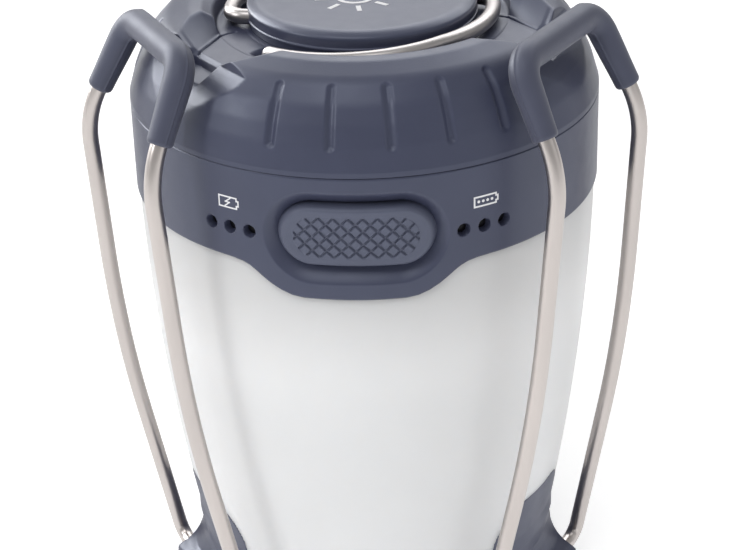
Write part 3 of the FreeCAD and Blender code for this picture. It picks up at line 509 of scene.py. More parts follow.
def make_cap():
    """The turned cap with its notches and grooves. The first corners are its outside."""
    corners = [
        (42.2, SEAM + 0.15, 0.18), (42.15, SEAM + 1.0, 1.0), (41.7, SEAM + 2.4, 4.0),
        (40.9, SEAM + 5.0, 9.0), (39.55, SEAM + 8.0, 9.0), (37.8, SEAM + 11.0, 7.0),
        (34.9, SEAM + 14.0, 6.0), (30.6, CREST - 0.15, 3.0), (28.4, CREST, 1.6),
        (26.4, CREST - 1.2, 1.0), (26.0, NOTCH_FLOOR, 0.6), (17.4, NOTCH_FLOOR, 0.1),
        (17.4, NOTCH_FLOOR - 2.0, 0.1), (27.0, NOTCH_FLOOR - 2.4, 0.5),
        (33.5, CREST - 6.4, 1.0), (39.2, SEAM + 1.9, 1.0), (39.6, SEAM + 0.15, 0.1)]
    outside_corners = 12
    fine = rounded(corners[:outside_corners], 0.20)
    rough = rounded(corners[outside_corners - 1:], 1.5)
    profile = np.concatenate([fine, rough[1:]])
    azimuths = np.arange(0.0, ROUND, 0.3)

    def change(angle, radius, height):
        outside = np.arange(radius.shape[1])[None, :] < len(fine)
        r1, h1 = cut_notches(angle, radius, height)
        r1, h1 = cut_grooves(angle, r1, h1)
        return np.where(outside, r1, radius), np.where(outside, h1, height)

    shape = Shape()
    shape.grid(turned(profile, azimuths, change), wrap_u=True, wrap_v=True)
    shape.make("cap", "housing", slate_plastic, "cap_shell")


# ---- top disc ----

DISC_RADIUS = 20.4
MARK_CENTRE = np.array([-1.0, -2.0])
MARK_RING = (3.4, 2.6)
MARK_RAY = (4.6, 7.2)
MARK_HALF = 0.42
MARK_TURN = 9.0


def make_disc():
    """The turned disc on top, with a thin step low on its side."""
    radius, top = DISC_RADIUS, DISC_HIGH[2]
    corners = [
        (0.0, top - 0.05, 0.0), (radius - 1.5, top, 6.0), (radius, top - 0.85, 0.7),
        (radius - 0.1, top - 2.65, 0.2), (radius + 0.12, top - 2.75, 0.1),
        (radius + 0.12, top - 3.1, 0.1), (radius - 0.25, top - 3.2, 0.1),
        (radius - 0.35, NOTCH_FLOOR + 0.05, 0.05), (17.2, NOTCH_FLOOR + 0.05, 0.1),
        (17.2, DISC_LOW[2], 0.1), (0.0, DISC_LOW[2], 0.0)]
    profile = rounded(corners, 0.3)
    shape = Shape()
    shape.grid(turned(profile, np.arange(0.0, ROUND, 1.0)), wrap_u=True)
    shape.make("disc", "housing", slate_disc, "top_disc")


def flat_ring(shape, centre, outer, inner, low, high):
    """A thin ring with an upright axis."""
    angles = np.linspace(0.0, 2 * math.pi, 72, endpoint=False)
    rows = []
    for a in angles:
        d = np.array([math.cos(a), math.sin(a), 0.0])
        c = np.array([centre[0], centre[1], 0.0])
        rows.append([c + d * outer + [0, 0, low], c + d * outer + [0, 0, high],
                     c + d * inner + [0, 0, high], c + d * inner + [0, 0, low]])
    shape.grid(np.array(rows), wrap_u=True, wrap_v=True)


def flat_bar(shape, start, end, half, low, high):
    """A thin straight bar lying level."""
    start, end = np.array(start, float), np.array(end, float)
    side = unit(np.array([-(end - start)[1], (end - start)[0]])) * half
    ring = [start - side, end - side, end + side, start + side]
    rows = [[[p[0], p[1], low] for p in ring], [[p[0], p[1], high] for p in ring]]
    first = shape.grid(np.array(rows), wrap_v=True)
    shape.faces.append([first + k for k in range(4)])
    shape.faces.append([first + 4 + k for k in range(4)])


def make_emblem():
    """A plain sun sign printed on the disc: a ring with short rays."""
    low, high = DISC_HIGH[2] - 0.06, DISC_HIGH[2] + 0.02
    shape = Shape()
    flat_ring(shape, MARK_CENTRE, *MARK_RING, low, high)
    for k in range(8):
        a = math.radians(45.0 * k + MARK_TURN)
        ray = np.array([math.cos(a), math.sin(a)])
        start, end = MARK_CENTRE + ray * MARK_RAY[0], MARK_CENTRE + ray * MARK_RAY[1]
        flat_bar(shape, start, end, MARK_HALF, low, high)
    shape.make("disc_mark", "housing", printed, merge=False)


# ---- collar ----

APRON_TOP = 91.3
COLLAR_TAPER = 0.25
COLLAR_BACK = 40.5
SWITCH_BOX_HALF = (16.4, 9.6)
SWITCH_BOX_FACE = 35.2
STEEP = 14.0
FACING = 0.6
RECESS_HALF = (15.4, 8.3)
RECESS_SLOPE = 2.6
RECESS_LIP = (0.07, 0.12, 0.14)
BUTTON_GAP = 0.3
RECESS_DEPTH = 2.35
BUTTON_HALF = (13.1, 5.6)
POCKET_FACE = 35.9
SWITCH_SHIFT = 0.45
WINDOWS = tuple(side * (24.7 + 5.2 * k) + 0.5 for side in (-1, 1) for k in range(3))
WINDOW_HEIGHT = SWITCH_HEIGHT - 0.2
WINDOW_RADIUS = 1.05
WINDOW_DEPTH = 1.6
APRON_X = np.array([0.0, 8.6, 10.6, 12.4, 14.0, 15.4, 16.5, 17.6, 18.8, 20.4, 22.5])
APRON_DROP = np.array([5.42, 5.40, 5.12, 4.45, 3.55, 2.50, 1.62, 0.86, 0.34, 0.06, 0.0])
PORT = 120.0
PORT_HALF = (6.5, 3.9)
PORT_DEPTH = 1.0
PORT_HEIGHT = (COVER_LOW[2] + COVER_HIGH[2]) / 2
SLOT_HALF = (4.4, 1.9)


def lower_edge(azimuth):
    """Height of the collar's lower edge, which drops in an apron below the switch."""
    across = np.abs(COLLAR_RADIUS * np.sin(np.radians(azimuth)))
    front = np.abs((azimuth + 180.0) % ROUND - 180.0) < 60.0
    drop = np.interp(across, APRON_X, APRON_DROP)
    return APRON_TOP - np.where(front, drop, 0.0)


def up_collar(height):
    """Share of the way from the top of the apron to the seam."""
    return (height - APRON_TOP) / (SEAM - APRON_TOP)


def collar_azimuths():
    """Fine steps at the front and at the port, coarser steps elsewhere."""
    return np.concatenate([
        np.arange(-38.0, 38.0, 0.22), np.arange(38.0, 104.0, 1.0), np.arange(104.0, 136.0, 0.4),
        np.arange(136.0, 322.0, 1.0)])


def collar_bite(azimuth, radius, height):
    """How deep the collar's outer face is cut at each point."""
    a = np.radians(azimuth)
    front = np.cos(a) > FACING
    x = radius * np.sin(a) - SWITCH_SHIFT
    inside = -stadium(x, height - SWITCH_HEIGHT, *RECESS_HALF)
    slope = np.clip(inside / RECESS_SLOPE, 0.0, 1.0)
    bite = np.where(front, RECESS_DEPTH * (0.35 * smooth(slope) + 0.65 * slope), 0.0)
    rise, beyond, half = RECESS_LIP
    bite = bite - np.where(front, rise * np.exp(-((inside + beyond) / half) ** 2), 0.0)
    hole = -stadium(x, height - SWITCH_HEIGHT, *[size + BUTTON_GAP for size in BUTTON_HALF])
    deep = radius - POCKET_FACE / np.maximum(np.cos(a), 0.5)
    bite = np.where(front & (hole > 0.0), np.maximum(bite, np.minimum(deep, hole * STEEP)), bite)
    for window in WINDOWS:
        across = np.radians(azimuth - window) * radius
        away = np.hypot(across, height - WINDOW_HEIGHT)
        bite = np.maximum(bite, WINDOW_DEPTH * smooth((WINDOW_RADIUS + 0.12 - away) / 0.26))
    across = radius * np.sin(np.radians(azimuth - PORT))
    facing = np.cos(np.radians(azimuth - PORT)) > FACING
    sides = np.minimum(PORT_HALF[0] - np.abs(across), PORT_HALF[1] - np.abs(height - PORT_HEIGHT))
    pocket = np.minimum(PORT_DEPTH, sides * 6.0)
    return np.where(facing & (sides > 0.0), np.maximum(bite, pocket), bite)


def open_slot(shape, first, azimuths, heights, columns):
    """Cut the slot for the charging socket through both faces of the collar."""
    reach = math.degrees(SLOT_HALF[0] / COLLAR_RADIUS)
    inside_u = np.flatnonzero(np.abs(azimuths - PORT) < reach)
    inside_v = np.flatnonzero(np.abs(heights - PORT_HEIGHT) < SLOT_HALF[1])
    i0, i1 = int(inside_u[0]), int(inside_u[-1])
    j0, j1 = int(inside_v[0]), int(inside_v[-1])

    def front(i, j):
        return first + i * columns + j

    def back(i, j):
        return first + i * columns + columns - 1 - j

    cells = [(i, j) for i in range(i0, i1 + 1) for j in range(j0, j1 + 1)]
    gone = {front(i, j) for i, j in cells} | {back(i, j) for i, j in cells}
    shape.faces = [face for face in shape.faces if not gone.issuperset(face)]
    loop = [(i, j0) for i in range(i0, i1)] + [(i1, j) for j in range(j0, j1)]
    loop += [(i, j1) for i in range(i1, i0, -1)] + [(i0, j) for j in range(j1, j0, -1)]
    for a, b in zip(loop, loop[1:] + loop[:1]):
        shape.faces.append([front(*a), front(*b), back(*b), back(*a)])


def make_collar():
    """The band with the switch recess, the window holes, the port and the box for the switch."""
    azimuths = collar_azimuths()
    rows = 104
    share = np.linspace(0.0, 1.0, rows)
    low = lower_edge(azimuths)[:, None]
    height = low + (SEAM - low) * share[None, :]
    radius = COLLAR_RADIUS - COLLAR_TAPER * np.clip(up_collar(height), 0.0, 1.0)
    radius = radius - 0.32 * edge_drop((height - low) / 0.45)
    radius = radius - 0.15 * edge_drop((SEAM - height) / 0.18)
    angle = np.broadcast_to(azimuths[:, None], radius.shape)
    radius = radius - collar_bite(angle, radius, height)
    outer = around(angle, radius, height)
    back = np.full_like(radius, COLLAR_BACK)
    a = np.radians(angle)
    housing = -stadium(back * np.sin(a), height - SWITCH_HEIGHT, *SWITCH_BOX_HALF)
    wall = SWITCH_BOX_FACE / np.maximum(np.cos(a), 0.5)
    deep = (np.cos(a) > FACING) & (housing > 0.0)
    back = np.where(deep, np.maximum(wall, COLLAR_BACK - housing * STEEP), back)
    inner = around(angle, back, height)
    shape = Shape()
    first = shape.grid(np.concatenate([outer, inner[:, ::-1]], 1), wrap_u=True, wrap_v=True)
    at_port = int(np.argmin(np.abs(azimuths - PORT)))
    open_slot(shape, first, azimuths, height[at_port], 2 * rows)
    shape.make("collar_band", "housing", slate_plastic, "collar")


LENS = ((39.6, 0.0), (39.6, 1.0), (41.02, 1.0), (41.10, 0.85), (41.16, 0.45), (41.18, 0.0))


def make_windows():
    """Dark lenses deep in the six round holes."""
    for name, side, node in (("windows_left", -1, "charge_windows"),
                             ("windows_right", 1, "level_windows")):
        shape = Shape()
        for window in [w for w in WINDOWS if w * side > 0]:
            out = around(np.array(window), 1.0, 0.0)
            across = np.cross((0.0, 0.0, 1.0), out)
            rows = []
            for t in np.linspace(0.0, 2 * math.pi, 32, endpoint=False):
                ring = across * math.cos(t) + np.array([0.0, 0.0, 1.0]) * math.sin(t)
                base = np.array([0.0, 0.0, WINDOW_HEIGHT])
                rows.append([base + out * reach + ring * wide for reach, wide in LENS])
            shape.grid(np.array(rows), wrap_u=True)
        shape.make(name, "housing", smoked, node)


# ---- switch pad ----

LATTICE = 2.42
LATTICE_HALF = (10.5, 3.75)
LATTICE_RISE = 0.36
LATTICE_SINK = 0.26
PAD_ROUND = (2.1, 1.05)
PAD_THICK = 3.6


def make_button():
    """The domed pad with its raised diamonds, and its flat back."""
    half_x, half_z = BUTTON_HALF
    columns = half_x * np.sin(np.linspace(-math.pi / 2, math.pi / 2, 341))
    straight = half_x - half_z
    room = half_z ** 2 - np.maximum(np.abs(columns) - straight, 0.0) ** 2
    reach = np.sqrt(np.maximum(room, 1e-4))
    share = np.sin(np.linspace(-math.pi / 2, math.pi / 2, 151))
    x = np.broadcast_to(columns[:, None], (len(columns), len(share)))
    z = reach[:, None] * share[None, :]
    inside = -stadium(x, z, half_x, half_z)
    face = -BUTTON_LOW[1]
    y = np.sqrt(face ** 2 - x ** 2)
    y = y - PAD_ROUND[0] * edge_drop(inside / PAD_ROUND[1])
    y = y - 0.10 * smooth((inside - 1.1) / 1.6)
    zone = -stadium(x, z, *LATTICE_HALF)
    rising = np.abs(((x + z) / LATTICE + 0.5) % 1.0 - 0.5)
    falling = np.abs(((x - z) / LATTICE + 0.5) % 1.0 - 0.5)
    across = np.minimum(rising, falling) * LATTICE / math.sqrt(2)
    plateau = smooth((across - 0.09) / 0.17)
    y = y + smooth(zone / 0.25) * (LATTICE_RISE * plateau - LATTICE_SINK)
    y = np.minimum(y, np.sqrt(face ** 2 - x ** 2) - 0.02)
    front = np.stack([x + SWITCH_SHIFT, -y, z + SWITCH_HEIGHT], -1)
    back = np.stack([x + SWITCH_SHIFT, np.full_like(x, PAD_THICK - face), z + SWITCH_HEIGHT], -1)
    shape = Shape()
    shape.shell(front, back)
    shape.make("button", "button", pad_rubber, "power_button")


# ---- printed signs ----

PRINT_PROUD = 0.03
PRINT_DEEP = -0.05
SIGN_HEIGHT = SEAM - 6.5
SIGN_LEFT = -29.6
SIGN_RIGHT = 30.6


def on_collar(azimuth, dx, dz, height, proud):
    """A point on the collar's face from flat sizes about a middle azimuth."""
    radius = COLLAR_RADIUS - COLLAR_TAPER * up_collar(height + dz) + proud
    return around(azimuth + np.degrees(dx / radius), radius, height + dz)


def printed_line(shape, azimuth, height, line, half, closed=False):
    """A printed line made of short bars of a given half width that follow the collar's face."""
    line = [np.array(p, float) for p in line]
    ends = zip(line, line[1:] + line[:1]) if closed else zip(line, line[1:])
    for start, end in ends:
        along = unit(end - start) * half
        side = np.array([-along[1], along[0]])
        a, b = start - along, end + along
        rows = []
        for point in (a, (a * 2 + b) / 3, (a + b * 2) / 3, b):
            ring = [(point + side, PRINT_DEEP), (point + side, PRINT_PROUD),
                    (point - side, PRINT_PROUD), (point - side, PRINT_DEEP)]
            rows.append([on_collar(azimuth, q[0], q[1], height, proud) for q, proud in ring])
        first = shape.grid(np.array(rows), wrap_v=True)
        shape.faces.append([first + k for k in range(4)])
        shape.faces.append([first + 12 + k for k in range(4)])


def printed_dot(shape, azimuth, height, centre, radius):
    """A printed dot as a low round tile."""
    rows = []
    for t in np.linspace(0.0, 2 * math.pi, 16, endpoint=False):
        rim = (centre[0] + radius * math.cos(t), centre[1] + radius * math.sin(t))
        rows.append([on_collar(azimuth, *centre, height, PRINT_DEEP),
                     on_collar(azimuth, *rim, height, PRINT_DEEP),
                     on_collar(azimuth, *rim, height, PRINT_PROUD),
                     on_collar(azimuth, *centre, height, PRINT_PROUD)])
    shape.grid(np.array(rows), wrap_u=True)


def cell_outline(half_width, half_height, cap):
    """Outline of a plain battery sign with its contact at the right end."""
    tip = half_width + 0.35
    return [(-half_width, -half_height), (half_width, -half_height), (half_width, -cap),
            (tip, -cap), (tip, cap), (half_width, cap), (half_width, half_height),
            (-half_width, half_height)]


def make_signs():
    """Plain battery signs: a bolt for charging and four dots for the level."""
    shape = Shape()
    printed_line(shape, SIGN_LEFT, SIGN_HEIGHT, cell_outline(1.75, 0.95, 0.45), 0.13, closed=True)
    bolt = [(0.55, 0.75), (-0.45, 0.02), (0.38, -0.02), (-0.55, -0.75)]
    printed_line(shape, SIGN_LEFT, SIGN_HEIGHT, bolt, 0.11)
    shape.make("sign_charge", "housing", printed, merge=False)
    shape = Shape()
    printed_line(shape, SIGN_RIGHT, SIGN_HEIGHT, cell_outline(2.05, 0.85, 0.42), 0.15, closed=True)
    for k in range(4):
        printed_dot(shape, SIGN_RIGHT, SIGN_HEIGHT, (-1.26 + 0.84 * k, 0.0), 0.26)
    shape.make("sign_level", "housing", printed, merge=False)


# ---- globe ----

GLOBE_PROFILE_Z = np.array([21.8, 24.0, 28.0, 33.0, 40.0, 48.0, 56.0, 64.0, 72.0, 80.0, 86.0, 92.0])
GLOBE_PROFILE_R = np.array([36.08, 36.44, 37.06, 37.76, 38.66, 39.55, 40.32, 40.98, 41.47, 41.80,
                            41.93, 41.95])
GLOBE_START = 9.85
COLLAR_GAP = 0.12
GLOBE_NECK = 40.2
GLOBE_NECK_TOP = 95.0
GLOBE_BORE = 37.9
GLOBE_WALL = 2.6
GLOBE_FOOT = np.array([(32.2, 21.0), (32.2, 12.2), (33.8, 12.2), (33.8, 21.75)])
TAB_TOP = 31.8
TAB_HALF = 12.4
TAB_CORNER = 8.5
TAB_SEAT = 1.3


def globe_radius(height):
    """Radius of the globe's outer face at a height."""
    return np.interp(height, GLOBE_FINE_Z, GLOBE_FINE_R)


def fit_curve(z, r, samples):
    """A smooth curve through a few heights and radii, from one polynomial."""
    middle, spread = (z[0] + z[-1]) / 2, (z[-1] - z[0]) / 2
    coefficients = np.polyfit((z - middle) / spread, r, 4)
    fine = np.linspace(z[0], z[-1], samples)
    return fine, np.polyval(coefficients, (fine - middle) / spread)


GLOBE_FINE_Z, GLOBE_FINE_R = fit_curve(GLOBE_PROFILE_Z, GLOBE_PROFILE_R, 300)


def tab_inside(across, height, margin):
    """Distance inside a tab's outline, for a tongue with round upper corners."""
    half, top = TAB_HALF + margin, TAB_TOP + margin
    corner = TAB_CORNER
    dx = np.maximum(np.abs(across) - (half - corner), 0.0)
    dz = np.maximum(height - (top - corner), 0.0)
    round_part = corner - np.hypot(dx, dz)
    return np.where((dx > 0.0) & (dz > 0.0), round_part,
                    np.minimum(half - np.abs(across), top - height))


def make_globe():
    """The frosted wall, with flat seats under the tabs and its rim inside the collar."""
    azimuths = np.arange(0.0, ROUND, 0.5)
    low = GLOBE_LOW[2] + GLOBE_START
    edge = lower_edge(azimuths)[:, None] - COLLAR_GAP
    share = np.concatenate([np.linspace(0.0, 0.16, 40, endpoint=False), np.linspace(0.16, 1.0, 70)])
    height = low + (edge - low) * share[None, :]
    angle = np.broadcast_to(azimuths[:, None], height.shape)
    radius = globe_radius(height)
    turn = np.radians(nearest(angle, [leg[1] for leg in LEGS]))
    inside = tab_inside(radius * np.sin(turn), height, -0.25)
    radius = radius - TAB_SEAT * smooth(inside / 0.3)
    outer = around(angle, radius, height)
    column = azimuths[:, None]
    room = np.cos(np.radians(column)) > 0.8
    neck_top = np.where(room, np.minimum(GLOBE_NECK_TOP, edge + 0.05), GLOBE_NECK_TOP)
    top = around(column, GLOBE_NECK, edge)
    neck = around(column, GLOBE_NECK, neck_top)
    neck_in = around(column, GLOBE_BORE, neck_top)
    inner_z = np.linspace(86.0, 24.0, 24)
    inner = around(column, np.minimum(globe_radius(inner_z) - GLOBE_WALL, GLOBE_BORE), inner_z)
    foot = around(column, GLOBE_FOOT[:, 0], GLOBE_FOOT[:, 1])
    shape = Shape()
    skin = np.concatenate([outer, top, neck, neck_in, inner, foot], 1)
    shape.grid(skin, wrap_u=True, wrap_v=True)
    shape.make("globe_shell", "housing", frosted, "globe")


# ---- base ----

TAB_THICK = 1.15
TAB_START = 19.0
CUP_RIM = (36.12, 21.9)
PIVOT_OUT = 35.9
PIVOT_HEIGHT = 7.0
BARREL = 3.3
BARREL_HALF = 14.4
BARREL_END = ((0.0, 0.55), (0.06, 0.30), (0.22, 0.12), (0.5, 0.0), (1.6, 0.0), (3.0, 0.0),
              (5.0, 0.0), (8.0, 0.0))
SWEEP_HEIGHTS = np.array([7.6, 8.3, 9.1, 10.2, 11.5, 13.0, 14.6, 16.6])
SWEEP_REACH = np.array([46.0, 40.6, 38.9, 37.6, 36.7, 36.05, 35.65, 35.4])


def make_tab(shape, azimuth):
    """A thin tongue that follows the globe, with soft edges."""
    columns = np.linspace(-1.0, 1.0, 121)
    rows = np.linspace(0.0, 1.0, 61)
    low = BASE_LOW[2] + TAB_START
    across = TAB_HALF * np.sin(columns * math.pi / 2)
    x = np.broadcast_to(across[:, None], (len(columns), len(rows)))
    side = np.maximum(np.abs(x) - (TAB_HALF - TAB_CORNER), 0.0)
    top = TAB_TOP - TAB_CORNER + np.sqrt(np.maximum(TAB_CORNER ** 2 - side ** 2, 1e-6))
    z = low + (top - low) * (1.0 - (1.0 - rows[None, :]) ** 1.5)
    inside = np.clip(tab_inside(x, z, 0.0), 0.0, None)
    skin = np.where(z < CUP_RIM[1], CUP_RIM[0], globe_radius(z)) + 0.06
    face = skin - 0.45 * edge_drop(inside / 0.55)
    turn = np.degrees(np.arcsin(np.clip(x / face, -1.0, 1.0)))
    front = around(azimuth + turn, face, z)
    back = around(azimuth + turn, skin - TAB_THICK, z)
    shape.shell(front, back)


def make_barrel(shape, azimuth):
    """A hinge barrel and the web that sweeps it into the base, with rounded ends."""
    out, up, radius = PIVOT_OUT, PIVOT_HEIGHT, BARREL
    turns = np.radians(np.linspace(-90.0, 78.0, 25))
    ring = [(out + radius * math.cos(t), up + radius * math.sin(t)) for t in turns]
    sweep_up = rounded([(ring[-1][0], ring[-1][1], 0.0), (out + 0.1, up + radius + 1.7, 7.0),
                        (35.3, 17.6, 0.0)], 0.5)
    tail = [tuple(p) for p in sweep_up[1:]] + [(33.2, 17.6), (31.5, 12.0), (31.5, up - radius)]
    outline = np.array(ring + tail)
    middle = np.array([33.6, 9.0])
    ends = [(BARREL_HALF - gap, inset) for gap, inset in BARREL_END] + [(2.0, 0.0)]
    stations = [(-w, inset) for w, inset in ends] + [(w, inset) for w, inset in reversed(ends)]
    rows = []
    for across, inset in stations:
        rel = outline - middle
        length = np.linalg.norm(rel, axis=1)[:, None]
        ring_points = middle + rel * (length - inset) / length
        reach = np.interp(ring_points[:, 1], SWEEP_HEIGHTS, SWEEP_REACH)
        limit = np.sqrt(reach ** 2 - across ** 2)
        ring_points[:, 0] = np.minimum(ring_points[:, 0], limit)
        rows.append([leg_point(azimuth, across, p[0], p[1]) for p in ring_points])
    first = shape.grid(np.array(rows), wrap_v=True)
    count = len(outline)
    last = first + (len(stations) - 1) * count
    for start, across in ((first, -BARREL_HALF), (last, BARREL_HALF)):
        shape.fan(list(range(start, start + count)), leg_point(azimuth, across, *middle))


def make_base():
    """The turned cup with its three tabs and three hinge barrels."""
    corners = [
        (23.1, 0.0, 0.25), (32.0, 0.0, 2.4), (34.95, 3.2, 3.0), (35.3, 12.0, 8.0),
        (36.1, 21.7, 0.35), (34.1, 21.7, 0.2), (34.1, 10.6, 0.1), (31.0, 10.6, 0.1),
        (31.0, 6.0, 0.1), (23.1, 6.0, 0.1), (23.1, 5.5, 0.0), (25.6, 5.5, 0.0), (25.6, 3.2, 0.0),
        (23.1, 3.2, 0.0)]
    shape = Shape()
    profile = rounded(corners, 0.4, closed=True)
    shape.grid(turned(profile, np.arange(0.0, ROUND, 1.0)), wrap_u=True, wrap_v=True)
    for leg in LEGS:
        make_tab(shape, leg[1])
        make_barrel(shape, leg[1])
    shape.make("base", "housing", slate_plastic, "base_cup")


# ---- port cover ----

COVER_HALF = (6.2, 3.6)
COVER_FACE = 42.15
COVER_BACK = 41.45
PLUG_HALF = (3.1, 0.7)
PLUG_STATIONS = ((41.6, 1.0), (40.7, 1.0), (40.52, 0.94), (40.45, 0.82))


def make_plug(shape):
    """The plug on the back of the cover, with a round tip."""
    ring = []
    for t in np.linspace(0.0, 2 * math.pi, 48, endpoint=False):
        side = math.copysign(PLUG_HALF[0] - PLUG_HALF[1], math.cos(t))
        ring.append((side + PLUG_HALF[1] * math.cos(t), PLUG_HALF[1] * math.sin(t)))
    rows = [[leg_point(PORT, px * scale, out, PORT_HEIGHT + pz * scale) for px, pz in ring]
            for out, scale in PLUG_STATIONS]
    start = shape.grid(np.array(rows), wrap_v=True)
    count = len(ring)
    for row in (0, len(rows) - 1):
        first = start + row * count
        middle = leg_point(PORT, 0.0, PLUG_STATIONS[row][0], PORT_HEIGHT)
        shape.fan(list(range(first, first + count)), middle)


def make_cover():
    """The soft cover of the charging socket, with round corners, a finger lip and a plug."""
    half_x, half_z = COVER_HALF
    s = np.sin(np.linspace(-math.pi / 2, math.pi / 2, 61))
    x, z = np.meshgrid(s * half_x, s * half_z, indexing="ij")
    corner = 1.2
    dx = np.maximum(np.abs(x) - (half_x - corner), 0.0)
    dz = np.maximum(np.abs(z) - (half_z - corner), 0.0)
    over = np.hypot(dx, dz)
    pull = np.where(over > corner, corner / np.maximum(over, 1e-6), 1.0)
    x = np.where(dx > 0, np.sign(x) * (half_x - corner + dx * pull), x)
    z = np.where(dz > 0, np.sign(z) * (half_z - corner + dz * pull), z)
    inside = np.minimum(half_x - np.abs(x), half_z - np.abs(z))
    skin = COVER_FACE - 0.3 * edge_drop(inside / 0.5)
    lip = np.exp(-((z + 2.3) / 0.45) ** 2) * smooth((3.2 - np.abs(x)) / 0.8)
    skin = skin - 0.28 * np.exp(-((z + 1.5) / 0.5) ** 2) * smooth((3.6 - np.abs(x)) / 0.8)
    skin = skin + 0.04 * lip
    turn = np.degrees(np.arcsin(x / skin))
    front = around(PORT + turn, skin, z + PORT_HEIGHT)
    back = around(PORT + turn, COVER_BACK, z + PORT_HEIGHT)
    shape = Shape()
    shape.shell(front, back)
    make_plug(shape)
    shape.make("socket_cover", "cover", slate_rubber, "port_cover")


# ---- hooks ----

def make_hook(name, body, node, sign):
    """A stub into the disc, a tight bend and a long arc round the disc."""
    bend_y = HOOK_OFFSET - HOOK_BEND
    bend_x = math.sqrt((HOOK_RING - HOOK_BEND) ** 2 - bend_y ** 2)
    away = math.atan2(bend_y, bend_x)
    tip = math.radians(-90.0 - HOOK_TIP)
    path = [(x, HOOK_OFFSET, HOOK_HEIGHT) for x in np.linspace(12.0, bend_x, 12)]
    for t in np.linspace(math.pi / 2, away, 14)[1:]:
        x, y = bend_x + HOOK_BEND * math.cos(t), bend_y + HOOK_BEND * math.sin(t)
        path.append((x, y, HOOK_HEIGHT))
    for t in np.linspace(away, tip, 90)[1:]:
        drop = HOOK_DROOP * float(ring_droop(math.degrees(t) + 90.0))
        path.append((HOOK_RING * math.cos(t), HOOK_RING * math.sin(t), HOOK_HEIGHT - drop))
    path = [(sign * x, sign * y, z) for x, y, z in path]
    path, radii = ball_end(path, HOOK_WIRE)
    shape = Shape()
    sweep(shape, path, radii, 28, (0.0, 0.0, 1.0))
    shape.make(name, body, hook_steel, node)


# ---- legs ----

WIRE = 1.45
GRIP = 2.65
GRIP_START = {"right": (0.33, 0.27), "left": (0.285, 0.285), "rear": (0.31, 0.31)}
ARM = ((9.0, 35.9, 7.0), (19.6, 35.9, 7.0), (17.2, 45.3, 59.5), (15.6, 47.6, 106.0),
       (11.3, 38.6, 123.3))
ARM_BENDS = (0.0, 3.0, 300.0, 20.0, 4.5)
HEAD_SPREAD = {"right": (2.1, 2.1), "left": (0.5, 0.7), "rear": (0.8, 0.8)}
GRIP_TAPER = 0.28
GRIP_ROUND = 0.75
RIDGE = 0.12


def make_leg(side, azimuth):
    """A bent wire loop with its ends in the barrel, and the rubber foot round its head."""
    near, far = HEAD_SPREAD[side]
    if azimuth > 0.0:
        near, far = far, near
    right = [leg_point(azimuth, *p) for p in ARM[:4]]
    right.append(leg_point(azimuth, ARM[4][0] + near, *ARM[4][1:]))
    left = [leg_point(azimuth, -p[0], p[1], p[2]) for p in ARM[:4]]
    left.append(leg_point(azimuth, -ARM[4][0] - far, *ARM[4][1:]))
    corners = [(*p, r) for p, r in zip(left, ARM_BENDS)]
    corners += [(*p, r) for p, r in zip(right[::-1], ARM_BENDS[::-1])]
    path = rounded(corners, 0.5)
    keep = [path[0]]
    for p in path[1:]:
        if np.linalg.norm(p - keep[-1]) > 0.3:
            keep.append(p)
    shape = Shape()
    sweep(shape, keep, [WIRE] * len(keep), 28, leg_point(azimuth, 0.0, 1.0, 0.0))
    shape.make("wire_" + side, side + "_leg", stainless, "leg_wire_" + side)
    near_start, far_start = GRIP_START[side]
    shares = (near_start, far_start) if azimuth > 0.0 else (far_start, near_start)
    starts = [arm[3] + (arm[4] - arm[3]) * share for arm, share in zip((left, right), shares)]
    line = rounded([(*starts[0], 0.0), (*left[4], 4.5), (*right[4], 4.5), (*starts[1], 0.0)], 0.35)
    lengths = np.concatenate([[0.0], np.cumsum(np.linalg.norm(np.diff(line, axis=0), axis=1))])
    total = lengths[-1]
    ends = np.array([0.0, 0.02, 0.06, 0.14, 0.28, 0.48, GRIP_ROUND])
    stations = np.concatenate([ends, np.arange(1.1, total - 1.0, 0.4), total - ends[::-1]])
    path = np.stack([np.interp(stations, lengths, line[:, k]) for k in range(3)], -1)
    gap = np.minimum(stations, total - stations)
    round_off = 1.0 - edge_drop(gap / GRIP_ROUND)
    body = GRIP - RIDGE - GRIP_TAPER * (1.0 - smooth(gap / 11.0))
    radii = WIRE + 0.3 + (body - WIRE - 0.3) * round_off
    flat = unit(np.cross(line[len(line) // 2] - line[0], line[-1] - line[0]))

    def parting(angles):
        return RIDGE * np.exp(-(np.cos(angles) * GRIP / 0.17) ** 2)

    shape = Shape()
    sweep(shape, path, radii, 120, flat, parting)
    shape.make("foot_" + side, side + "_leg", slate_rubber, "foot_grip_" + side)


make_cap()
make_disc()
make_emblem()
make_collar()
make_windows()
make_button()
make_signs()
make_globe()
make_base()
make_cover()
make_hook("hook_wire_front", "front_hook", "hook_front", 1)
make_hook("hook_wire_rear", "rear_hook", "hook_rear", -1)
for leg_side, leg_azimuth in LEGS:
    make_leg(leg_side, leg_azimuth)


# ---- stage, light and camera ----

WHITE = (1.0, 1.0, 1.0, 1.0)
FLOOR_COLOUR = (0.9, 0.9, 0.9, 1.0)
WORLD_STRENGTH = 0.46
FLOOR_GLOW = 0.55
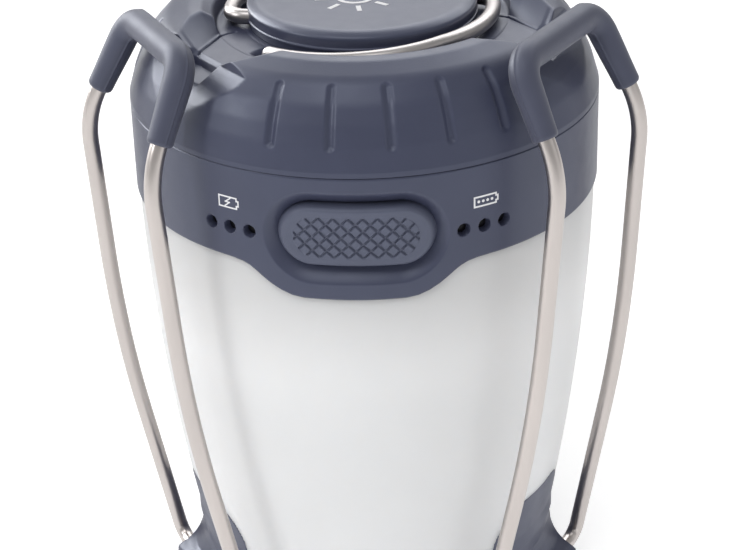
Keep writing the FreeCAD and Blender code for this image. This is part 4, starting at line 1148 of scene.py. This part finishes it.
# name, azimuth, elevation, distance in metres, width, height, power, and whether it only adds sheen
LIGHTS = (
    ("key", -66.0, 30.0, 0.9, 0.16, 0.16, 1.8, False),
    ("top_front", -25.0, 66.0, 0.9, 0.5, 0.4, 2.0, False),
    ("rim", -122.0, 26.0, 0.9, 0.5, 0.6, 11.0, True),
    ("back", 172.0, 42.0, 1.1, 1.2, 0.7, 9.0, True),
    ("right_fill", 66.0, 22.0, 1.2, 0.8, 0.8, 0.7, False),
)
CAMERA_AZIMUTH = math.radians(3.68)
CAMERA_ELEVATION = math.radians(28.59)
CAMERA_ROLL = math.radians(-1.78)
CAMERA_DISTANCE = 329.9
CAMERA_TARGET = (-0.77, 0.0, SEAM - 40.31)
CAMERA_LENS = 84.32


def make_floor():
    """A plain pale floor."""
    shape = bmesh.new()
    bmesh.ops.create_grid(shape, x_segments=8, y_segments=8, size=6.0)
    mesh = bpy.data.meshes.new("floor")
    shape.to_mesh(mesh)
    shape.free()
    material = bpy.data.materials.new("floor_white")
    material.use_nodes = True
    shader = material.node_tree.nodes["Principled BSDF"]
    preset(shader, {"Base Color": FLOOR_COLOUR, "Roughness": 0.9, "Specular IOR Level": 0.1,
                    "Emission Color": WHITE, "Emission Strength": FLOOR_GLOW})
    mesh.materials.append(material)
    floor = bpy.data.objects.new("floor", mesh)
    bpy.context.scene.collection.objects.link(floor)


def area_light(name, azimuth, elevation, distance, width, height, power, sheen_only):
    """A soft box that looks at the lantern's middle. With sheen_only it adds highlights only."""
    low, high = CAD_BOX
    target = (low + high) / 2
    a, e = math.radians(azimuth), math.radians(elevation)
    back = Vector((math.sin(a) * math.cos(e), -math.cos(a) * math.cos(e), math.sin(e)))
    data = bpy.data.lights.new(name, "AREA")
    data.shape = "RECTANGLE"
    data.size, data.size_y = width, height
    data.energy = power
    lamp = bpy.data.objects.new(name, data)
    lamp.location = target + back * distance
    lamp.rotation_mode = "QUATERNION"
    lamp.rotation_quaternion = (-back).to_track_quat("-Z", "Y")
    lamp.visible_diffuse = not sheen_only
    bpy.context.scene.collection.objects.link(lamp)


def make_world():
    """Even white light from all round."""
    world = bpy.data.worlds.new("studio")
    bpy.context.scene.world = world
    world.use_nodes = True
    background = world.node_tree.nodes["Background"]
    preset(background, {"Color": WHITE, "Strength": WORLD_STRENGTH})


def make_camera():
    """A long lens above the front, turned a little about the lantern and about its own axis."""
    elevation, roll = CAMERA_ELEVATION, CAMERA_ROLL
    back = Vector((0.0, -math.cos(elevation), math.sin(elevation)))
    up = Vector((0.0, math.sin(elevation), math.cos(elevation)))
    right = Vector((1.0, 0.0, 0.0))
    x_axis = right * math.cos(roll) + up * math.sin(roll)
    y_axis = up * math.cos(roll) - right * math.sin(roll)
    place = Vector(CAMERA_TARGET) * MM + back * CAMERA_DISTANCE * MM
    turn = Matrix.Rotation(CAMERA_AZIMUTH, 4, "Z")
    axes = Matrix((x_axis, y_axis, back)).transposed().to_4x4()
    data = bpy.data.cameras.new("camera")
    data.sensor_width = 36.0
    data.lens = CAMERA_LENS
    data.clip_start, data.clip_end = 0.01, 30.0
    camera = bpy.data.objects.new("camera", data)
    camera.matrix_world = turn @ Matrix.Translation(place) @ axes
    bpy.context.scene.collection.objects.link(camera)
    bpy.context.scene.camera = camera


make_floor()
make_world()
for light in LIGHTS:
    area_light(*light)
make_camera()
bpy.context.scene.view_settings.view_transform = "Standard"
